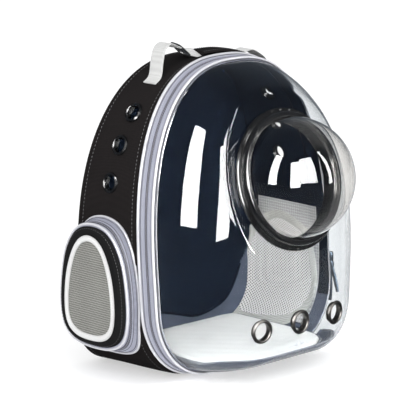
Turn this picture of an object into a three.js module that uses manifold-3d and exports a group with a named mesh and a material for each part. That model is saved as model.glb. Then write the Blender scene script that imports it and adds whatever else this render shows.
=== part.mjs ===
// Bubble pet carrier backpack. Millimetres, +Z up, the clear front faces -Y, +X is the viewer's right.
import * as THREE from 'three';
import Module from 'manifold-3d';

const wasm = await Module();
wasm.setup();

// Driving dimensions
const HALF_W = 164;          // half width of the body's arch outline
const ARCH_H = 405;          // height of the arch at the zip band
const SPRING_Z = 138;        // height where the straight side turns into the arch
const ARCH_POWER = 2.5;      // squareness of the arch
const CLOTH = 3;             // padded cloth wall of the gusset
const GAP = 0.3;             // seating gap between neighbouring pieces
const LEAN = 0.08;           // backward lean of the zip band, mm per mm of height
const BAND_REAR_Y = 12.5;    // rear edge of the zip band at the floor
const BAND_DEPTH = 29;       // depth of the zip band
const BACK_Y = 157;          // outside of the back panel at the floor
const ORIGIN_Y = -3.9;       // shift that centres the whole part on Y
const SHELL_T = 1.6;         // wall of the clear blister
const RIM_INSET = 5;         // the blister rim lies this far inside the gusset outline
const RIM_LIFT = 9;          // and this far above the gusset's underside
const BAND_LIFT = 4.6;       // the band's rear edge clears the floor by this
const RING_R = 92;           // outer radius of the dome ring
const RING_T = 15;           // thickness of the dome ring
const FLANGE_T = 4.5;        // its flange on the blister
const COLLAR_R = 86;         // its narrower front part
const HOLE_R = 80;           // hole in the blister behind the ring
const DOME_R = 78.8;         // radius of the clear dome
const DOME_T = 1.6;          // wall of the dome
const RING_Y = -79;          // centre of the ring's seat on the blister
const RING_Z = 259;
const RING_TILT = 15.4;      // degrees the ring looks up
const EYELET_R = 16;         // outer radius of the blister eyelets
const EYELET_HOLE = 10.4;
const SIDE_EYELET_R = 12;    // outer radius of the gusset eyelets
const SIDE_EYELET_HOLE = 8;
const WINDOW_PROUD = 22;     // side windows stand this far off the gusset
const FLOOR_Z = 20.5;         // top of the base block
const LINER_Z = 36;          // top edge of the opaque lining in the blister
const LINER_T = 1.2;
const PAD_T = 8;             // thickness of the floor pad
const HANDLE_Y = 73.5;       // depth of the handle's middle
const HANDLE_W = 24;         // width of its webbing
const PANEL_T = 16;          // padded back panel, inside of its outer face
const STRAP_W = 62;          // width of the padded shoulder straps
const STRAP_T = 9;
const WEB_W = 25;            // width of the strap webbing
const WEB_T = 1.6;

// One row per ring of the gusset from the zip band to the back.
// s: 0 at the band, 1 at the back; side, top, base: how far the outline is drawn in there; cx, cz: bottom corners
const GUSSET_ROWS = [
  { s: 0.00, side: 0, top: 0, base: BAND_LIFT, cx: 86, cz: 90 },
  { s: 0.06, side: -1.1, top: -0.3, base: 0, cx: 82, cz: 88 },
  { s: 0.36, side: -2, top: 0.5, base: 0, cx: 76, cz: 80 },
  { s: 0.64, side: -2, top: 1, base: 0, cx: 69, cz: 73 },
  { s: 0.86, side: 0, top: 2, base: 1, cx: 62, cz: 66 },
  { s: 0.96, side: 4, top: 5, base: 4, cx: 58, cz: 60 },
  { s: 1.00, side: 11, top: 12, base: 10, cx: 54, cz: 56 },
];

// Half outline of the side window's face: y from the window's middle, z above the floor
const WINDOW_Y = 88;
const WINDOW_FACE = [
  [0, 40], [35, 43], [58, 58], [65, 90], [61, 135], [52, 169], [31, 197], [0, 204],
];
// and where its zip wall meets the gusset
const WINDOW_BASE = [
  [0, 29], [36, 32], [59, 48], [64.5, 88], [61, 136], [53, 173], [33, 202], [0, 211],
];
const OPENING_Y = 94;
const WINDOW_OPENING = [
  [0, 57], [24, 59], [39, 71], [41.5, 98], [36, 136], [22, 171], [0, 182],
];
const EYELET_XS = [-67.7, 0, 67.7];
const EYELET_Z = 76;
// Places of the gusset eyelets as depth and height
const SIDE_EYELETS = [
  { y: 74, z: ARCH_H - 64 },
  { y: 78.5, z: ARCH_H - 104.5 },
  { y: 83, z: ARCH_H - 152 },
];

const group = new THREE.Group();

function v(x, y, z) {
  return new THREE.Vector3(x, y, z);
}

function signedVolume(points, faces) {
  let sum = 0;
  for (const [a, b, c] of faces) {
    sum += points[a].dot(points[b].clone().cross(points[c]));
  }
  return sum / 6;
}

function toGeometry(points, faces) {
  const flip = signedVolume(points, faces) < 0;
  const geometry = new THREE.BufferGeometry();
  const flat = points.flatMap((p) => [p.x, p.y, p.z]);
  geometry.setAttribute('position', new THREE.Float32BufferAttribute(flat, 3));
  geometry.setIndex(faces.flatMap(([a, b, c]) => (flip ? [a, c, b] : [a, b, c])));
  return geometry;
}

// Skin over rings of equal length; closed joins the last ring to the first, otherwise both ends are capped.
// level caps a ring that is the same on both sides with level rungs, so that it bends only with height
function skin(rings, closed = false, level = false) {
  const n = rings[0].length;
  const points = rings.flat();
  const faces = [];
  const last = closed ? rings.length : rings.length - 1;
  for (let i = 0; i < last; i += 1) {
    const a = i * n;
    const b = ((i + 1) % rings.length) * n;
    for (let j = 0; j < n; j += 1) {
      const k = (j + 1) % n;
      faces.push([a + j, a + k, b + k], [a + j, b + k, b + j]);
    }
  }
  if (!closed) {
    for (const [start, reverse] of [[0, true], [(rings.length - 1) * n, false]]) {
      const cap = level ? levelFaces(n) : capFaces(points.slice(start, start + n));
      for (const [a, b, c] of cap) {
        faces.push(reverse ? [start + a, start + c, start + b] : [start + a, start + b, start + c]);
      }
    }
  }
  return toGeometry(points, faces);
}

function levelFaces(n) {
  const faces = [];
  for (let i = 0; i < n / 2; i += 1) {
    const [a, b, c, d] = [i, i + 1, n - i - 1, (n - i) % n];
    if (b !== c) faces.push([a, b, c]);
    if (a !== d) faces.push([a, c, d]);
  }
  return faces;
}

// Triangles of a flat or nearly flat ring, wound like the ring itself
function capFaces(ring) {
  const normal = v(0, 0, 0);
  ring.forEach((p, i) => {
    const q = ring[(i + 1) % ring.length];
    normal.add(p.clone().cross(q));
  });
  normal.normalize();
  const side = Math.abs(normal.z) > 0.7 ? v(1, 0, 0) : v(0, 0, 1);
  const e1 = side.clone().sub(normal.clone().multiplyScalar(side.dot(normal))).normalize();
  const e2 = normal.clone().cross(e1);
  const flat = ring.map((p) => new THREE.Vector2(p.dot(e1), p.dot(e2)));
  return THREE.ShapeUtils.triangulateShape(flat, []);
}

function toManifold(geometry) {
  const mesh = new wasm.Mesh({
    numProp: 3,
    vertProperties: new Float32Array(geometry.attributes.position.array),
    triVerts: new Uint32Array(geometry.index.array),
  });
  return new wasm.Manifold(mesh);
}

// The largest body of a solid; cutting can leave small crumbs beside it
function fromManifold(solid) {
  const bodies = solid.decompose();
  bodies.sort((a, b) => b.volume() - a.volume());
  const mesh = bodies[0].getMesh();
  const geometry = new THREE.BufferGeometry();
  geometry.setAttribute('position', new THREE.Float32BufferAttribute(Float32Array.from(mesh.vertProperties), 3));
  geometry.setIndex(Array.from(mesh.triVerts));
  return geometry;
}

function add(name, geometry, colour, roughness, metalness = 0, opacity = 1) {
  const material = new THREE.MeshStandardMaterial({
    color: colour,
    roughness,
    metalness,
    opacity,
    transparent: opacity < 1,
  });
  const mesh = new THREE.Mesh(geometry, material);
  mesh.name = name;
  mesh.position.set(0, ORIGIN_Y, 0);
  group.add(mesh);
  return mesh;
}

function mirrored(geometry) {
  const copy = geometry.clone();
  const position = copy.attributes.position;
  for (let i = 0; i < position.count; i += 1) {
    position.setX(i, -position.getX(i));
  }
  const index = copy.index.array;
  for (let i = 0; i < index.length; i += 3) {
    [index[i + 1], index[i + 2]] = [index[i + 2], index[i + 1]];
  }
  return copy;
}

// Both sides from the piece made for -X
function addPair(name, geometry, ...look) {
  add(`${name}_left`, geometry, ...look);
  add(`${name}_right`, mirrored(geometry), ...look);
}

// The arch outline as [x, z] pairs, from the middle of the floor round by +X and back, drawn in by side, top, base
function arch({ side = 0, top = 0, base = 0, cx = 86, cz = 92, corner = 4, crown = 11 }) {
  const w = HALF_W - side;
  const h = ARCH_H - top;
  const half = [[0, base], [(w - cx) * 0.5, base]];
  for (let i = 0; i <= corner; i += 1) {
    const a = (i / corner) * (Math.PI / 2);
    half.push([w - cx + cx * Math.sin(a), base + cz - cz * Math.cos(a)]);
  }
  for (let i = 0; i < crown; i += 1) {
    const a = (i / crown) * (Math.PI / 2);
    const x = w * Math.cos(a) ** (2 / ARCH_POWER);
    half.push([x, SPRING_Z + (h - SPRING_Z) * Math.sin(a) ** (2 / ARCH_POWER)]);
  }
  const other = half.slice(1).reverse().map(([x, z]) => [-x, z]);
  return [...half, [0, h], ...other];
}

function bandY(z) {
  return BAND_REAR_Y + LEAN * z;
}

function backY(z) {
  const t = THREE.MathUtils.clamp((z - 200) / 200, 0, 1.2);
  return BACK_Y - 0.04 * z - 20 * t * t;
}

// Ring of the gusset surface drawn in by a further inset, at depth share s
function gussetRing(row, inset = 0, push = 0) {
  const outline = arch({
    side: row.side + inset,
    top: row.top + inset,
    base: row.base + inset,
    cx: row.cx - inset,
    cz: row.cz - inset,
  });
  return outline.map(([x, z]) => v(x, bandY(z) * (1 - row.s) + backY(z) * row.s + push, z));
}

// Ring at any outline and depth function
function ringAt(outline, depth) {
  return outline.map(([x, z]) => v(x, depth(z), z));
}

// Rings around the outline turned into sections, so a wall with both faces closes on itself
function wall(outer, inner) {
  const loops = [...outer, ...inner.slice().reverse()];
  return skin(loops, true);
}

// Gusset
const gussetOuterRings = GUSSET_ROWS.map((row) => gussetRing(row));
const gussetInnerRings = GUSSET_ROWS.map((row) => gussetRing(row, CLOTH));
const gussetOuterSolid = toManifold(skin(gussetOuterRings));
const gussetInnerSolid = toManifold(skin(gussetInnerRings));
let gusset = toManifold(wall(gussetOuterRings, gussetInnerRings));

// Zip band: rear edge on the gusset outline, front edge on the blister rim
function rimOutline(inset) {
  return arch({
    side: RIM_INSET + inset,
    top: 4 + inset,
    base: RIM_LIFT + inset,
    cx: 84 - inset,
    cz: 86 - inset,
  });
}
function rimY(z) {
  return bandY(z) - BAND_DEPTH;
}
function bandRing(share, inset) {
  const rear = arch({ side: inset, top: inset, base: BAND_LIFT + inset, cx: 86 - inset, cz: 90 - inset });
  const front = rimOutline(inset);
  return rear.map(([x, z], i) => {
    const zz = z * (1 - share) + front[i][1] * share;
    const xx = x * (1 - share) + front[i][0] * share;
    return v(xx, bandY(zz) - BAND_DEPTH * share, zz);
  });
}
const SHARE_GAP = GAP / BAND_DEPTH;
const bandOuter = [bandRing(SHARE_GAP, 0), bandRing(0.5, -1.2), bandRing(1, 0)];
const bandInner = [bandRing(SHARE_GAP, 2.4), bandRing(0.5, 1.2), bandRing(1, 2.4)];
add('zip_band_tape', wall(bandOuter, bandInner), '#c3c3cd', 0.75);

// A bead that runs all round the band at a share of its depth
function bandBead(share, lift, radius, sides = 4) {
  const centre = bandRing(share, -lift);
  const n = centre.length;
  const rings = centre.map((p, i) => {
    const ahead = centre[(i + 1) % n].clone().sub(centre[(i + n - 1) % n]).normalize();
    const out = v(ahead.z, 0, -ahead.x).normalize();
    const side = ahead.clone().cross(out).normalize();
    const loop = [];
    for (let k = 0; k < sides; k += 1) {
      const a = (k / sides) * Math.PI * 2 + Math.PI / sides;
      loop.push(p.clone().addScaledVector(out, radius * Math.cos(a)).addScaledVector(side, radius * Math.sin(a)));
    }
    return loop;
  });
  return skin(rings, true);
}
add('zip_band_rear_piping', bandBead(0.13, 2.6, 1.9), '#d9d9dc', 0.6);
add('zip_band_coil', bandBead(0.47, 3.2, 1.5, 3), '#8d8d99', 0.5);
add('zip_band_front_piping', bandBead(0.87, 2.6, 1.9), '#f1f1f2', 0.5);

// Clear blister: every rim point sweeps to the front pole on a super-ellipse
const SHELL = {
  depth0: 88,      // reach of the front pole beyond the rim
  depth1: 9.5,     // and how it grows with each 100 mm of height
  depth2: 3.1,
  powerTop: 4.1,   // squareness of the fall from pole to rim, upper and lower part
  powerLow: 3.5,
  poleZ: 45,
  round: 1.34,
  lift: 7,         // rise of the underside towards the front
};
const ringNormal = v(0, -Math.cos(THREE.MathUtils.degToRad(RING_TILT)), Math.sin(THREE.MathUtils.degToRad(RING_TILT)));
const ringCentre = v(0, RING_Y, RING_Z);
const FLAT_N = -GAP;

function soften(value, limit, blend) {
  const d = (value - limit) / blend;
  if (d > 1) return limit;
  if (d < -1) return value;
  return value - (blend * (d + 1) * (d + 1)) / 4;
}

function shellPower(rimZ) {
  const up = THREE.MathUtils.smoothstep(rimZ, SHELL.poleZ - 100, SHELL.poleZ + 100);
  return SHELL.powerLow * (1 - up) + SHELL.powerTop * up;
}

function shellPoint(rim, t, shrink) {
  const share = Math.cos(t) ** (2 / shellPower(rim.z));
  const low = THREE.MathUtils.clamp((SHELL.poleZ - rim.z) / SHELL.poleZ, 0, 1);
  const x = rim.x * share;
  const z = SHELL.poleZ + (rim.z - SHELL.poleZ) * share + SHELL.lift * low * Math.sin(t) ** 2;
  const h = (z - SHELL.poleZ) / 100;
  const reach = SHELL.depth0 + SHELL.depth1 * h + SHELL.depth2 * h * h - shrink;
  const p = v(x, rimY(z) - reach * Math.sin(t) ** (2 / SHELL.round), z);
  // a flat round seat for the dome ring, blended into the blister around it
  const from = p.clone().sub(ringCentre);
  const n = from.dot(ringNormal);
  const off = from.clone().addScaledVector(ringNormal, -n).length();
  const seat = FLAT_N - shrink;
  const hold = 1 - THREE.MathUtils.smoothstep(off, RING_R + 2, RING_R + 38);
  const wanted = soften(n, seat, 6) * (1 - hold) + seat * hold;
  p.y += (n - wanted) / Math.cos(THREE.MathUtils.degToRad(RING_TILT));
  return p;
}

const SHELL_ANGLES = [0, 10, 21, 32, 43, 53, 63, 73, 82, 88.6].map((d) => THREE.MathUtils.degToRad(d));
function shellRings(inset) {
  const rim = ringAt(rimOutline(GAP + inset), rimY);
  return SHELL_ANGLES.map((t) => rim.map((p) => shellPoint(p, t, inset)));
}
const shellOuter = toManifold(skin(shellRings(0)));
const innerRings = shellRings(SHELL_T);
const behind = innerRings[0].map((p) => v(p.x, p.y + 6, p.z));
const shellInner = toManifold(skin([behind, ...innerRings]));
let blister = shellOuter.subtract(shellInner);

// Turned piece: profile of [radius, along] pairs about an axis through centre
function turned(profile, centre, axis, segments) {
  const helper = Math.abs(axis.z) > 0.9 ? v(1, 0, 0) : v(0, 0, 1);
  const e1 = helper.clone().cross(axis).normalize();
  const e2 = axis.clone().cross(e1);
  const rings = [];
  for (let i = 0; i < segments; i += 1) {
    const a = (i / segments) * Math.PI * 2;
    const radial = e1.clone().multiplyScalar(Math.cos(a)).addScaledVector(e2, Math.sin(a));
    rings.push(profile.map(([r, n]) => centre.clone().addScaledVector(radial, r).addScaledVector(axis, n)));
  }
  return skin(rings, true);
}

function plug(radius, centre, axis, from, to, segments) {
  const rings = [from, to].map((n) => {
    const helper = Math.abs(axis.z) > 0.9 ? v(1, 0, 0) : v(0, 0, 1);
    const e1 = helper.clone().cross(axis).normalize();
    const e2 = axis.clone().cross(e1);
    const loop = [];
    for (let i = 0; i < segments; i += 1) {
      const a = (i / segments) * Math.PI * 2;
      const radial = e1.clone().multiplyScalar(Math.cos(a)).addScaledVector(e2, Math.sin(a));
      loop.push(centre.clone().addScaledVector(radial, radius).addScaledVector(axis, n));
    }
    return loop;
  });
  return toManifold(skin(rings));
}

// Dome ring with a lip that holds it behind the blister, and the clear dome
blister = blister.subtract(plug(HOLE_R, ringCentre, ringNormal, -60, 30, 28));
const seatR = DOME_R + 0.6;
const seatN = RING_T - 5;
const ringProfile = [
  [HOLE_R - 4, -10], [HOLE_R + 3, -10], [HOLE_R + 3, -7.6], [HOLE_R - 0.6, -7.6], [HOLE_R - 0.6, 0], [RING_R, 0], [RING_R, FLANGE_T],
  [COLLAR_R + 0.6, FLANGE_T + 2], [COLLAR_R, RING_T - 2], [COLLAR_R - 2, RING_T], [seatR, RING_T], [seatR, seatN],
  [HOLE_R - 4, seatN],
];
add('dome_ring', turned(ringProfile, ringCentre, ringNormal, 28), '#262627', 0.35);
function domeGeometry() {
  const profile = [];
  const steps = 5;
  const base = -Math.asin(0.4 / DOME_R);
  for (let i = 0; i <= steps; i += 1) {
    const a = -base + (i / steps) * (Math.PI / 2 - 0.03 + base);
    profile.push([DOME_R * Math.cos(a), DOME_R * Math.sin(a)]);
  }
  const inner = profile.map(([r, n]) => [r - DOME_T * Math.cos(Math.atan2(n, r)), n - DOME_T * Math.sin(Math.atan2(n, r))]);
  inner[0] = [profile[0][0] - DOME_T, profile[0][1]];
  const make = (rows) => {
    const rings = rows.map(([r, n]) => {
      const loop = [];
      for (let i = 0; i < 24; i += 1) {
        const a = (i / 24) * Math.PI * 2;
        const e1 = v(1, 0, 0);
        const e2 = ringNormal.clone().cross(e1);
        const p = ringCentre.clone().addScaledVector(e1, r * Math.cos(a)).addScaledVector(e2, r * Math.sin(a));
        loop.push(p.addScaledVector(ringNormal, n + seatN));
      }
      return loop;
    });
    return toManifold(skin(rings));
  };
  const deeper = [[inner[0][0], inner[0][1] - 4], ...inner];
  return fromManifold(make(profile).subtract(make(deeper)));
}
add('clear_dome', domeGeometry(), '#dfe6ea', 0.05, 0, 0.3);

// Point and outward normal of the blister below the ring at x and z
function shellSurface(x, z) {
  const find = (xx, zz) => {
    let best = null;
    const rim = ringAt(rimOutline(GAP), rimY);
    const target = Math.atan2(zz - SHELL.poleZ, xx);
    for (let i = 0; i < rim.length; i += 1) {
      const a = rim[i];
      const b = rim[(i + 1) % rim.length];
      for (let k = 0; k < 16; k += 1) {
        const p = a.clone().lerp(b, k / 16);
        let d = Math.abs(Math.atan2(p.z - SHELL.poleZ, p.x) - target);
        d = Math.min(d, Math.PI * 2 - d);
        if (!best || d < best.d) best = { d, p };
      }
    }
    const far = Math.hypot(best.p.x, best.p.z - SHELL.poleZ);
    const share = THREE.MathUtils.clamp(Math.hypot(xx, zz - SHELL.poleZ) / far, 1e-4, 1);
    return shellPoint(best.p, Math.acos(share ** (shellPower(best.p.z) / 2)), 0);
  };
  const p = find(x, z);
  const px = find(x + 6, z).sub(find(x - 6, z));
  const pz = find(x, z + 6).sub(find(x, z - 6));
  const normal = pz.cross(px).normalize();
  if (normal.y > 0) normal.negate();
  return { p, normal };
}

function eyelet(radius, hole, wallT, lift) {
  return [
    [hole, -wallT - 2.2], [hole, lift + 1.8], [hole + 1.6, lift + 2.6], [radius - 1.4, lift + 2.2], [radius, lift],
    [hole + 1.0, lift], [hole + 1.0, -wallT - 0.8], [radius - 2.5, -wallT - 0.8], [radius - 2.5, -wallT - 2.2],
  ];
}

EYELET_XS.forEach((x, i) => {
  const { p, normal } = shellSurface(x, EYELET_Z);
  blister = blister.subtract(plug(EYELET_HOLE + 1.4, p, normal, -12, 12, 12));
  const geometry = turned(eyelet(EYELET_R, EYELET_HOLE, SHELL_T + 2.2, 1.3), p, normal, 12);
  add(`front_eyelet_${i + 1}`, geometry, '#5c5a58', 0.3, 0.9);
});
// Opaque lining of the blister's floor
const linerOuter = shellRings(SHELL_T + GAP * 1.5);
const linerInner = shellRings(SHELL_T + GAP * 1.5 + LINER_T);
const linerBehind = linerInner[1].map((p) => v(p.x, p.y + 12, p.z));
const linerCut = toManifold(skin([
  [v(-200, -200, -5), v(200, -200, -5), v(200, -26, -5), v(-200, -26, -5)],
  [v(-200, -200, LINER_Z), v(200, -200, LINER_Z), v(200, -26, LINER_Z), v(-200, -26, LINER_Z)],
]));
const liner = toManifold(skin(linerOuter)).subtract(toManifold(skin([linerBehind, ...linerInner.slice(1)]))).intersect(linerCut);
add('blister_liner', fromManifold(liner), '#666b75', 0.7);
add('clear_blister', fromManifold(blister), '#e4e9ec', 0.05, 0, 0.25);

// Gusset eyelets: the surface point is found by marching in from outside at y and z
function gussetSurface(y, z) {
  const faces = [];
  for (let i = 0; i < gussetOuterRings.length - 1; i += 1) {
    const a = gussetOuterRings[i];
    const b = gussetOuterRings[i + 1];
    for (let j = 0; j < a.length; j += 1) {
      const k = (j + 1) % a.length;
      faces.push([a[j], a[k], b[k]], [a[j], b[k], b[j]]);
    }
  }
  const ray = new THREE.Ray(v(-400, y, z), v(1, 0, 0));
  const hit = v(0, 0, 0);
  let best = null;
  for (const [a, b, c] of faces) {
    if (ray.intersectTriangle(a, b, c, false, hit) && (!best || hit.x < best.p.x)) {
      const normal = b.clone().sub(a).cross(c.clone().sub(a)).normalize();
      if (normal.x > 0) normal.negate();
      best = { p: hit.clone(), normal };
    }
  }
  return best;
}

SIDE_EYELETS.forEach(({ y, z }, i) => {
  const { p, normal } = gussetSurface(y, z);
  const profile = eyelet(SIDE_EYELET_R, SIDE_EYELET_HOLE, CLOTH + 1.0, 0.8).filter((row, k) => k !== 2 && k !== 6);
  const geometry = turned(profile, p, normal, 10);
  addPair(`side_eyelet_${i + 1}`, geometry, '#161617', 0.25);
  for (const flip of [1, -1]) {
    const c = v(p.x * flip, p.y, p.z);
    const n = v(normal.x * flip, normal.y, normal.z);
    gusset = gusset.subtract(plug(SIDE_EYELET_HOLE + 1.5, c, n, -14, 14, 10));
  }
});

// Box with its own axes: size along side, ahead and up
function block(centre, ahead, up, size) {
  const side = ahead.clone().cross(up).normalize();
  const rings = [-0.5, 0.5].map((k) => [[-0.5, -0.5], [0.5, -0.5], [0.5, 0.5], [-0.5, 0.5]].map(([a, b]) => {
    const p = centre.clone().addScaledVector(ahead, k * size[1]);
    return p.addScaledVector(side, a * size[0]).addScaledVector(up, b * size[2]);
  }));
  return skin(rings);
}

// Two sliders on the front zip, on the right, each with a hanging pull
const SLIDERS = [
  { z: 125, hang: 42, swing: -0.42 },
  { z: 102, hang: 42, swing: 0.05 },
];
SLIDERS.forEach(({ z, hang, swing }, i) => {
  const y = bandY(z) - BAND_DEPTH * 0.47;
  const x = HALF_W + 1.95;
  add(`zip_slider_${i + 1}`, block(v(x + 1.5, y, z), v(0, LEAN, 1).normalize(), v(1, 0, 0), [9, 11, 3]), '#77777c', 0.35, 0.9);
  const down = v(0, swing, -1).normalize();
  const middle = v(x + 4.6, y - 4.5, z - 1).addScaledVector(down, hang / 2 - 3);
  add(`zip_pull_${i + 1}`, block(middle, down, v(1, 0, 0), [6, hang, 1.8]), '#4a4b50', 0.4, 0.8);
});

// Side windows, made for -X
function closedHalf(half, centreY, grow = 0) {
  const middleZ = 122;
  const all = [...half, ...half.slice(1, -1).reverse().map(([y, z]) => [-y, z])];
  return all.map(([y, z]) => {
    const length = Math.hypot(y, z - middleZ);
    const k = (length + grow) / length;
    return [centreY + y * k, middleZ + (z - middleZ) * k];
  });
}
// Outline smoothed by one round of corner cutting
function smooth(outline) {
  return outline.flatMap(([y, z], i) => {
    const [y2, z2] = outline[(i + 1) % outline.length];
    return [[y * 0.75 + y2 * 0.25, z * 0.75 + z2 * 0.25], [y * 0.25 + y2 * 0.75, z * 0.25 + z2 * 0.75]];
  });
}
function sideRing(outline, x) {
  return outline.map(([y, z]) => v(x, y, z));
}
const faceX = -(HALF_W + WINDOW_PROUD);
const faceLine = (grow) => smooth(closedHalf(WINDOW_FACE, WINDOW_Y, grow));
const baseLine = (grow) => smooth(closedHalf(WINDOW_BASE, WINDOW_Y, grow));
const openLine = (grow) => smooth(closedHalf(WINDOW_OPENING, OPENING_Y, grow));
const seatOuter = toManifold(skin(GUSSET_ROWS.map((row) => gussetRing(row, -GAP))));

const pocketOut = [sideRing(baseLine(0), -148), sideRing(baseLine(0), -160), sideRing(faceLine(-1), faceX + 1.2)];
const pocketIn = [sideRing(baseLine(-2.6), -148), sideRing(baseLine(-2.6), -160), sideRing(faceLine(-3.6), faceX + 1.2)];
const pocket = toManifold(wall(pocketOut, pocketIn)).subtract(seatOuter);
addPair('window_zip_wall', fromManifold(pocket), '#c9c9d1', 0.7);

const frameRings = [
  [faceLine(-2.5), faceX + 0.9], [faceLine(-5), faceX - 1.6],
].map(([line, x]) => sideRing(line, x));
const holeRings = [sideRing(openLine(9), faceX + 6), sideRing(openLine(9), faceX - 6)];
const frame = toManifold(skin(frameRings)).subtract(toManifold(skin(holeRings)));
addPair('window_frame', fromManifold(frame), '#1d1d1e', 0.7);

const bindOuter = [sideRing(openLine(8.6), faceX + 1.2), sideRing(openLine(8.6), faceX - 1.4), sideRing(openLine(6), faceX - 2.6)];
const bindInner = [sideRing(openLine(0), faceX + 1.2), sideRing(openLine(0), faceX - 1.2), sideRing(openLine(1.5), faceX - 2.4)];
addPair('window_binding', wall(bindOuter, bindInner), '#e6e6e4', 0.8);

const meshRings = [sideRing(openLine(-0.3), faceX + 0.4), sideRing(openLine(-0.3), faceX - 0.5)];
addPair('window_mesh', skin(meshRings), '#a9aaa8', 0.9);

// The gusset is open behind each window
const behindWindow = [sideRing(faceLine(-5), -100), sideRing(faceLine(-5), -200)];
for (const geometry of [skin(behindWindow), mirrored(skin(behindWindow))]) {
  gusset = gusset.subtract(toManifold(geometry));
}
add('gusset', fromManifold(gusset), '#242323', 0.85);

// Back panel, sewn inside the rear opening
const backRow = GUSSET_ROWS[GUSSET_ROWS.length - 1];
const backSheet = (inset, push) => gussetRing(backRow, CLOTH + GAP + inset, push);
const backPanel = skin([
  backSheet(2, -PANEL_T), backSheet(0, 2 - PANEL_T), backSheet(0, -1), backSheet(3, 1.5),
], false, true);
add('back_panel', backPanel, '#1f2430', 0.85);

// Base block on the floor of the bag, and the pad on it
const lowCut = [
  [v(-200, -200, -5), v(200, -200, -5), v(200, 300, -5), v(-200, 300, -5)],
  [v(-200, -200, FLOOR_Z), v(200, -200, FLOOR_Z), v(200, 300, FLOOR_Z), v(-200, 300, FLOOR_Z)],
];
const insideBag = toManifold(skin([
  gussetRing({ ...GUSSET_ROWS[0], s: 0 }, CLOTH + 1, 1),
  ...GUSSET_ROWS.slice(1, 4).map((row) => gussetRing(row, CLOTH + 2 * GAP)),
  gussetRing({ ...GUSSET_ROWS[5] }, CLOTH + 2 * GAP, -PANEL_T),
]));
const lowRings = shellRings(SHELL_T + LINER_T + GAP * 4);
const throat = ringAt(rimOutline(4), rimY);
const insideShell = toManifold(skin([
  throat.map((p) => v(p.x, p.y + BAND_DEPTH + 5, p.z)),
  throat.map((p) => v(p.x, p.y, p.z)),
  ...lowRings.slice(1),
]));
const inside = insideBag.add(insideShell);
const baseBlock = inside.intersect(toManifold(skin(lowCut)));
add('base_block', fromManifold(baseBlock), '#5c616b', 0.85);

// Half outline of the pad as [x, y], from the middle of the front round to the middle of the rear
const PAD_HALF = [[0, -84], [38, -82], [70, -73], [92, -58], [104, -40], [108, -14], [108, 108], [101, 121], [86, 127], [0, 127]];
function padRing(inset, z) {
  const all = [...PAD_HALF, ...PAD_HALF.slice(1, -1).reverse().map(([x, y]) => [-x, y])];
  return all.map(([x, y]) => v(x * (1 - inset / 108), 23 + (y - 23) * (1 - inset / 105), z));
}
const padZ = FLOOR_Z + GAP;
const padRoom = toManifold(skin([
  throat.map((p) => v(p.x, p.y + 170, p.z)),
  throat,
  ...shellRings(SHELL_T + LINER_T + GAP * 5).slice(1),
]));
const pad = toManifold(skin([padRing(4, padZ), padRing(4, padZ + PAD_T - 1.5), padRing(8, padZ + PAD_T)]));
add('floor_pad', fromManifold(pad.intersect(padRoom)), '#dcdcd6', 0.9);
const padBindOut = [padRing(1, padZ), padRing(0, padZ + PAD_T * 0.5), padRing(1.4, padZ + PAD_T - 0.8)];
const padBindIn = [padRing(3.6, padZ), padRing(3.6, padZ + PAD_T * 0.5), padRing(3.6, padZ + PAD_T - 0.8)];
const padBinding = toManifold(wall(padBindOut, padBindIn)).intersect(padRoom);
add('floor_pad_binding', fromManifold(padBinding), '#6f7278', 0.8);

// Flat band bent along a centre line; across is the direction of its width
function ribbon(path, across, width, thickness) {
  const n = path.length;
  const rings = path.map((p, i) => {
    const ahead = path[Math.min(i + 1, n - 1)].clone().sub(path[Math.max(i - 1, 0)]).normalize();
    const side = across(i / (n - 1)).clone();
    side.addScaledVector(ahead, -side.dot(ahead)).normalize();
    const up = ahead.clone().cross(side).normalize();
    const w = (typeof width === 'function' ? width(i / (n - 1)) : width) / 2;
    const t = thickness / 2;
    return [[-w, -t], [w, -t], [w, t], [-w, t]].map(([a, b]) => p.clone().addScaledVector(side, a).addScaledVector(up, b));
  });
  return skin(rings);
}

// Top handle: a webbing loop on the left, tri-glide, webbing under a padded grip, webbing to the right
const acrossY = () => v(0, 1, 0);
const curve = (points, n) => new THREE.CatmullRomCurve3(points).getPoints(n);
// The handle's points follow the bag's width and height
const SPREAD = HALF_W / 164;
const handlePath = (points, n) => curve(points.map(([x, z]) => v(x * SPREAD, HANDLE_Y, z)), n);
const crownZ = (x) => {
  const a = Math.acos(Math.min(1, Math.abs(x) / (HALF_W + 2)) ** (ARCH_POWER / 2));
  return SPRING_Z + (ARCH_H - 0.5 - SPRING_Z) * Math.sin(a) ** (2 / ARCH_POWER);
};
const onCrown = (x, lift) => [x, crownZ(x * SPREAD) + lift];
const overCrown = (x, lift) => [x, ARCH_H + lift];
const leftWeb = handlePath([onCrown(-98, 3.2), onCrown(-88, 3.4), overCrown(-84.5, -2),
  overCrown(-80, 13), overCrown(-70, 20), overCrown(-57, 15.5)], 11);
add('handle_webbing_left', ribbon(leftWeb, acrossY, HANDLE_W, 2), '#dededd', 0.85);
const glide = handlePath([overCrown(-56.5, 14.4), overCrown(-42, 9.2), overCrown(-28, 4.6)], 2);
add('handle_glide', ribbon(glide, acrossY, HANDLE_W + 7, 4), '#2d2d2e', 0.4);
const midWeb = handlePath([overCrown(-27.5, 4.4), overCrown(-22, 3.4), overCrown(-14.6, 3)], 3);
add('handle_webbing_middle', ribbon(midWeb, acrossY, HANDLE_W, 2), '#dededd', 0.85);
const grip = handlePath([onCrown(-14, 3.4), onCrown(0, 3.5), onCrown(22, 3.6), onCrown(44, 3.8), onCrown(62, 4)], 9);
add('handle_grip', ribbon(grip, acrossY, HANDLE_W + 8, 5), '#212121', 0.7);
const rightWeb = handlePath([onCrown(63, 5.2), overCrown(80, -8), overCrown(96, -15.5), overCrown(107, -23.5),
  onCrown(111, 5), onCrown(118, 4.4)], 10);
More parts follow.
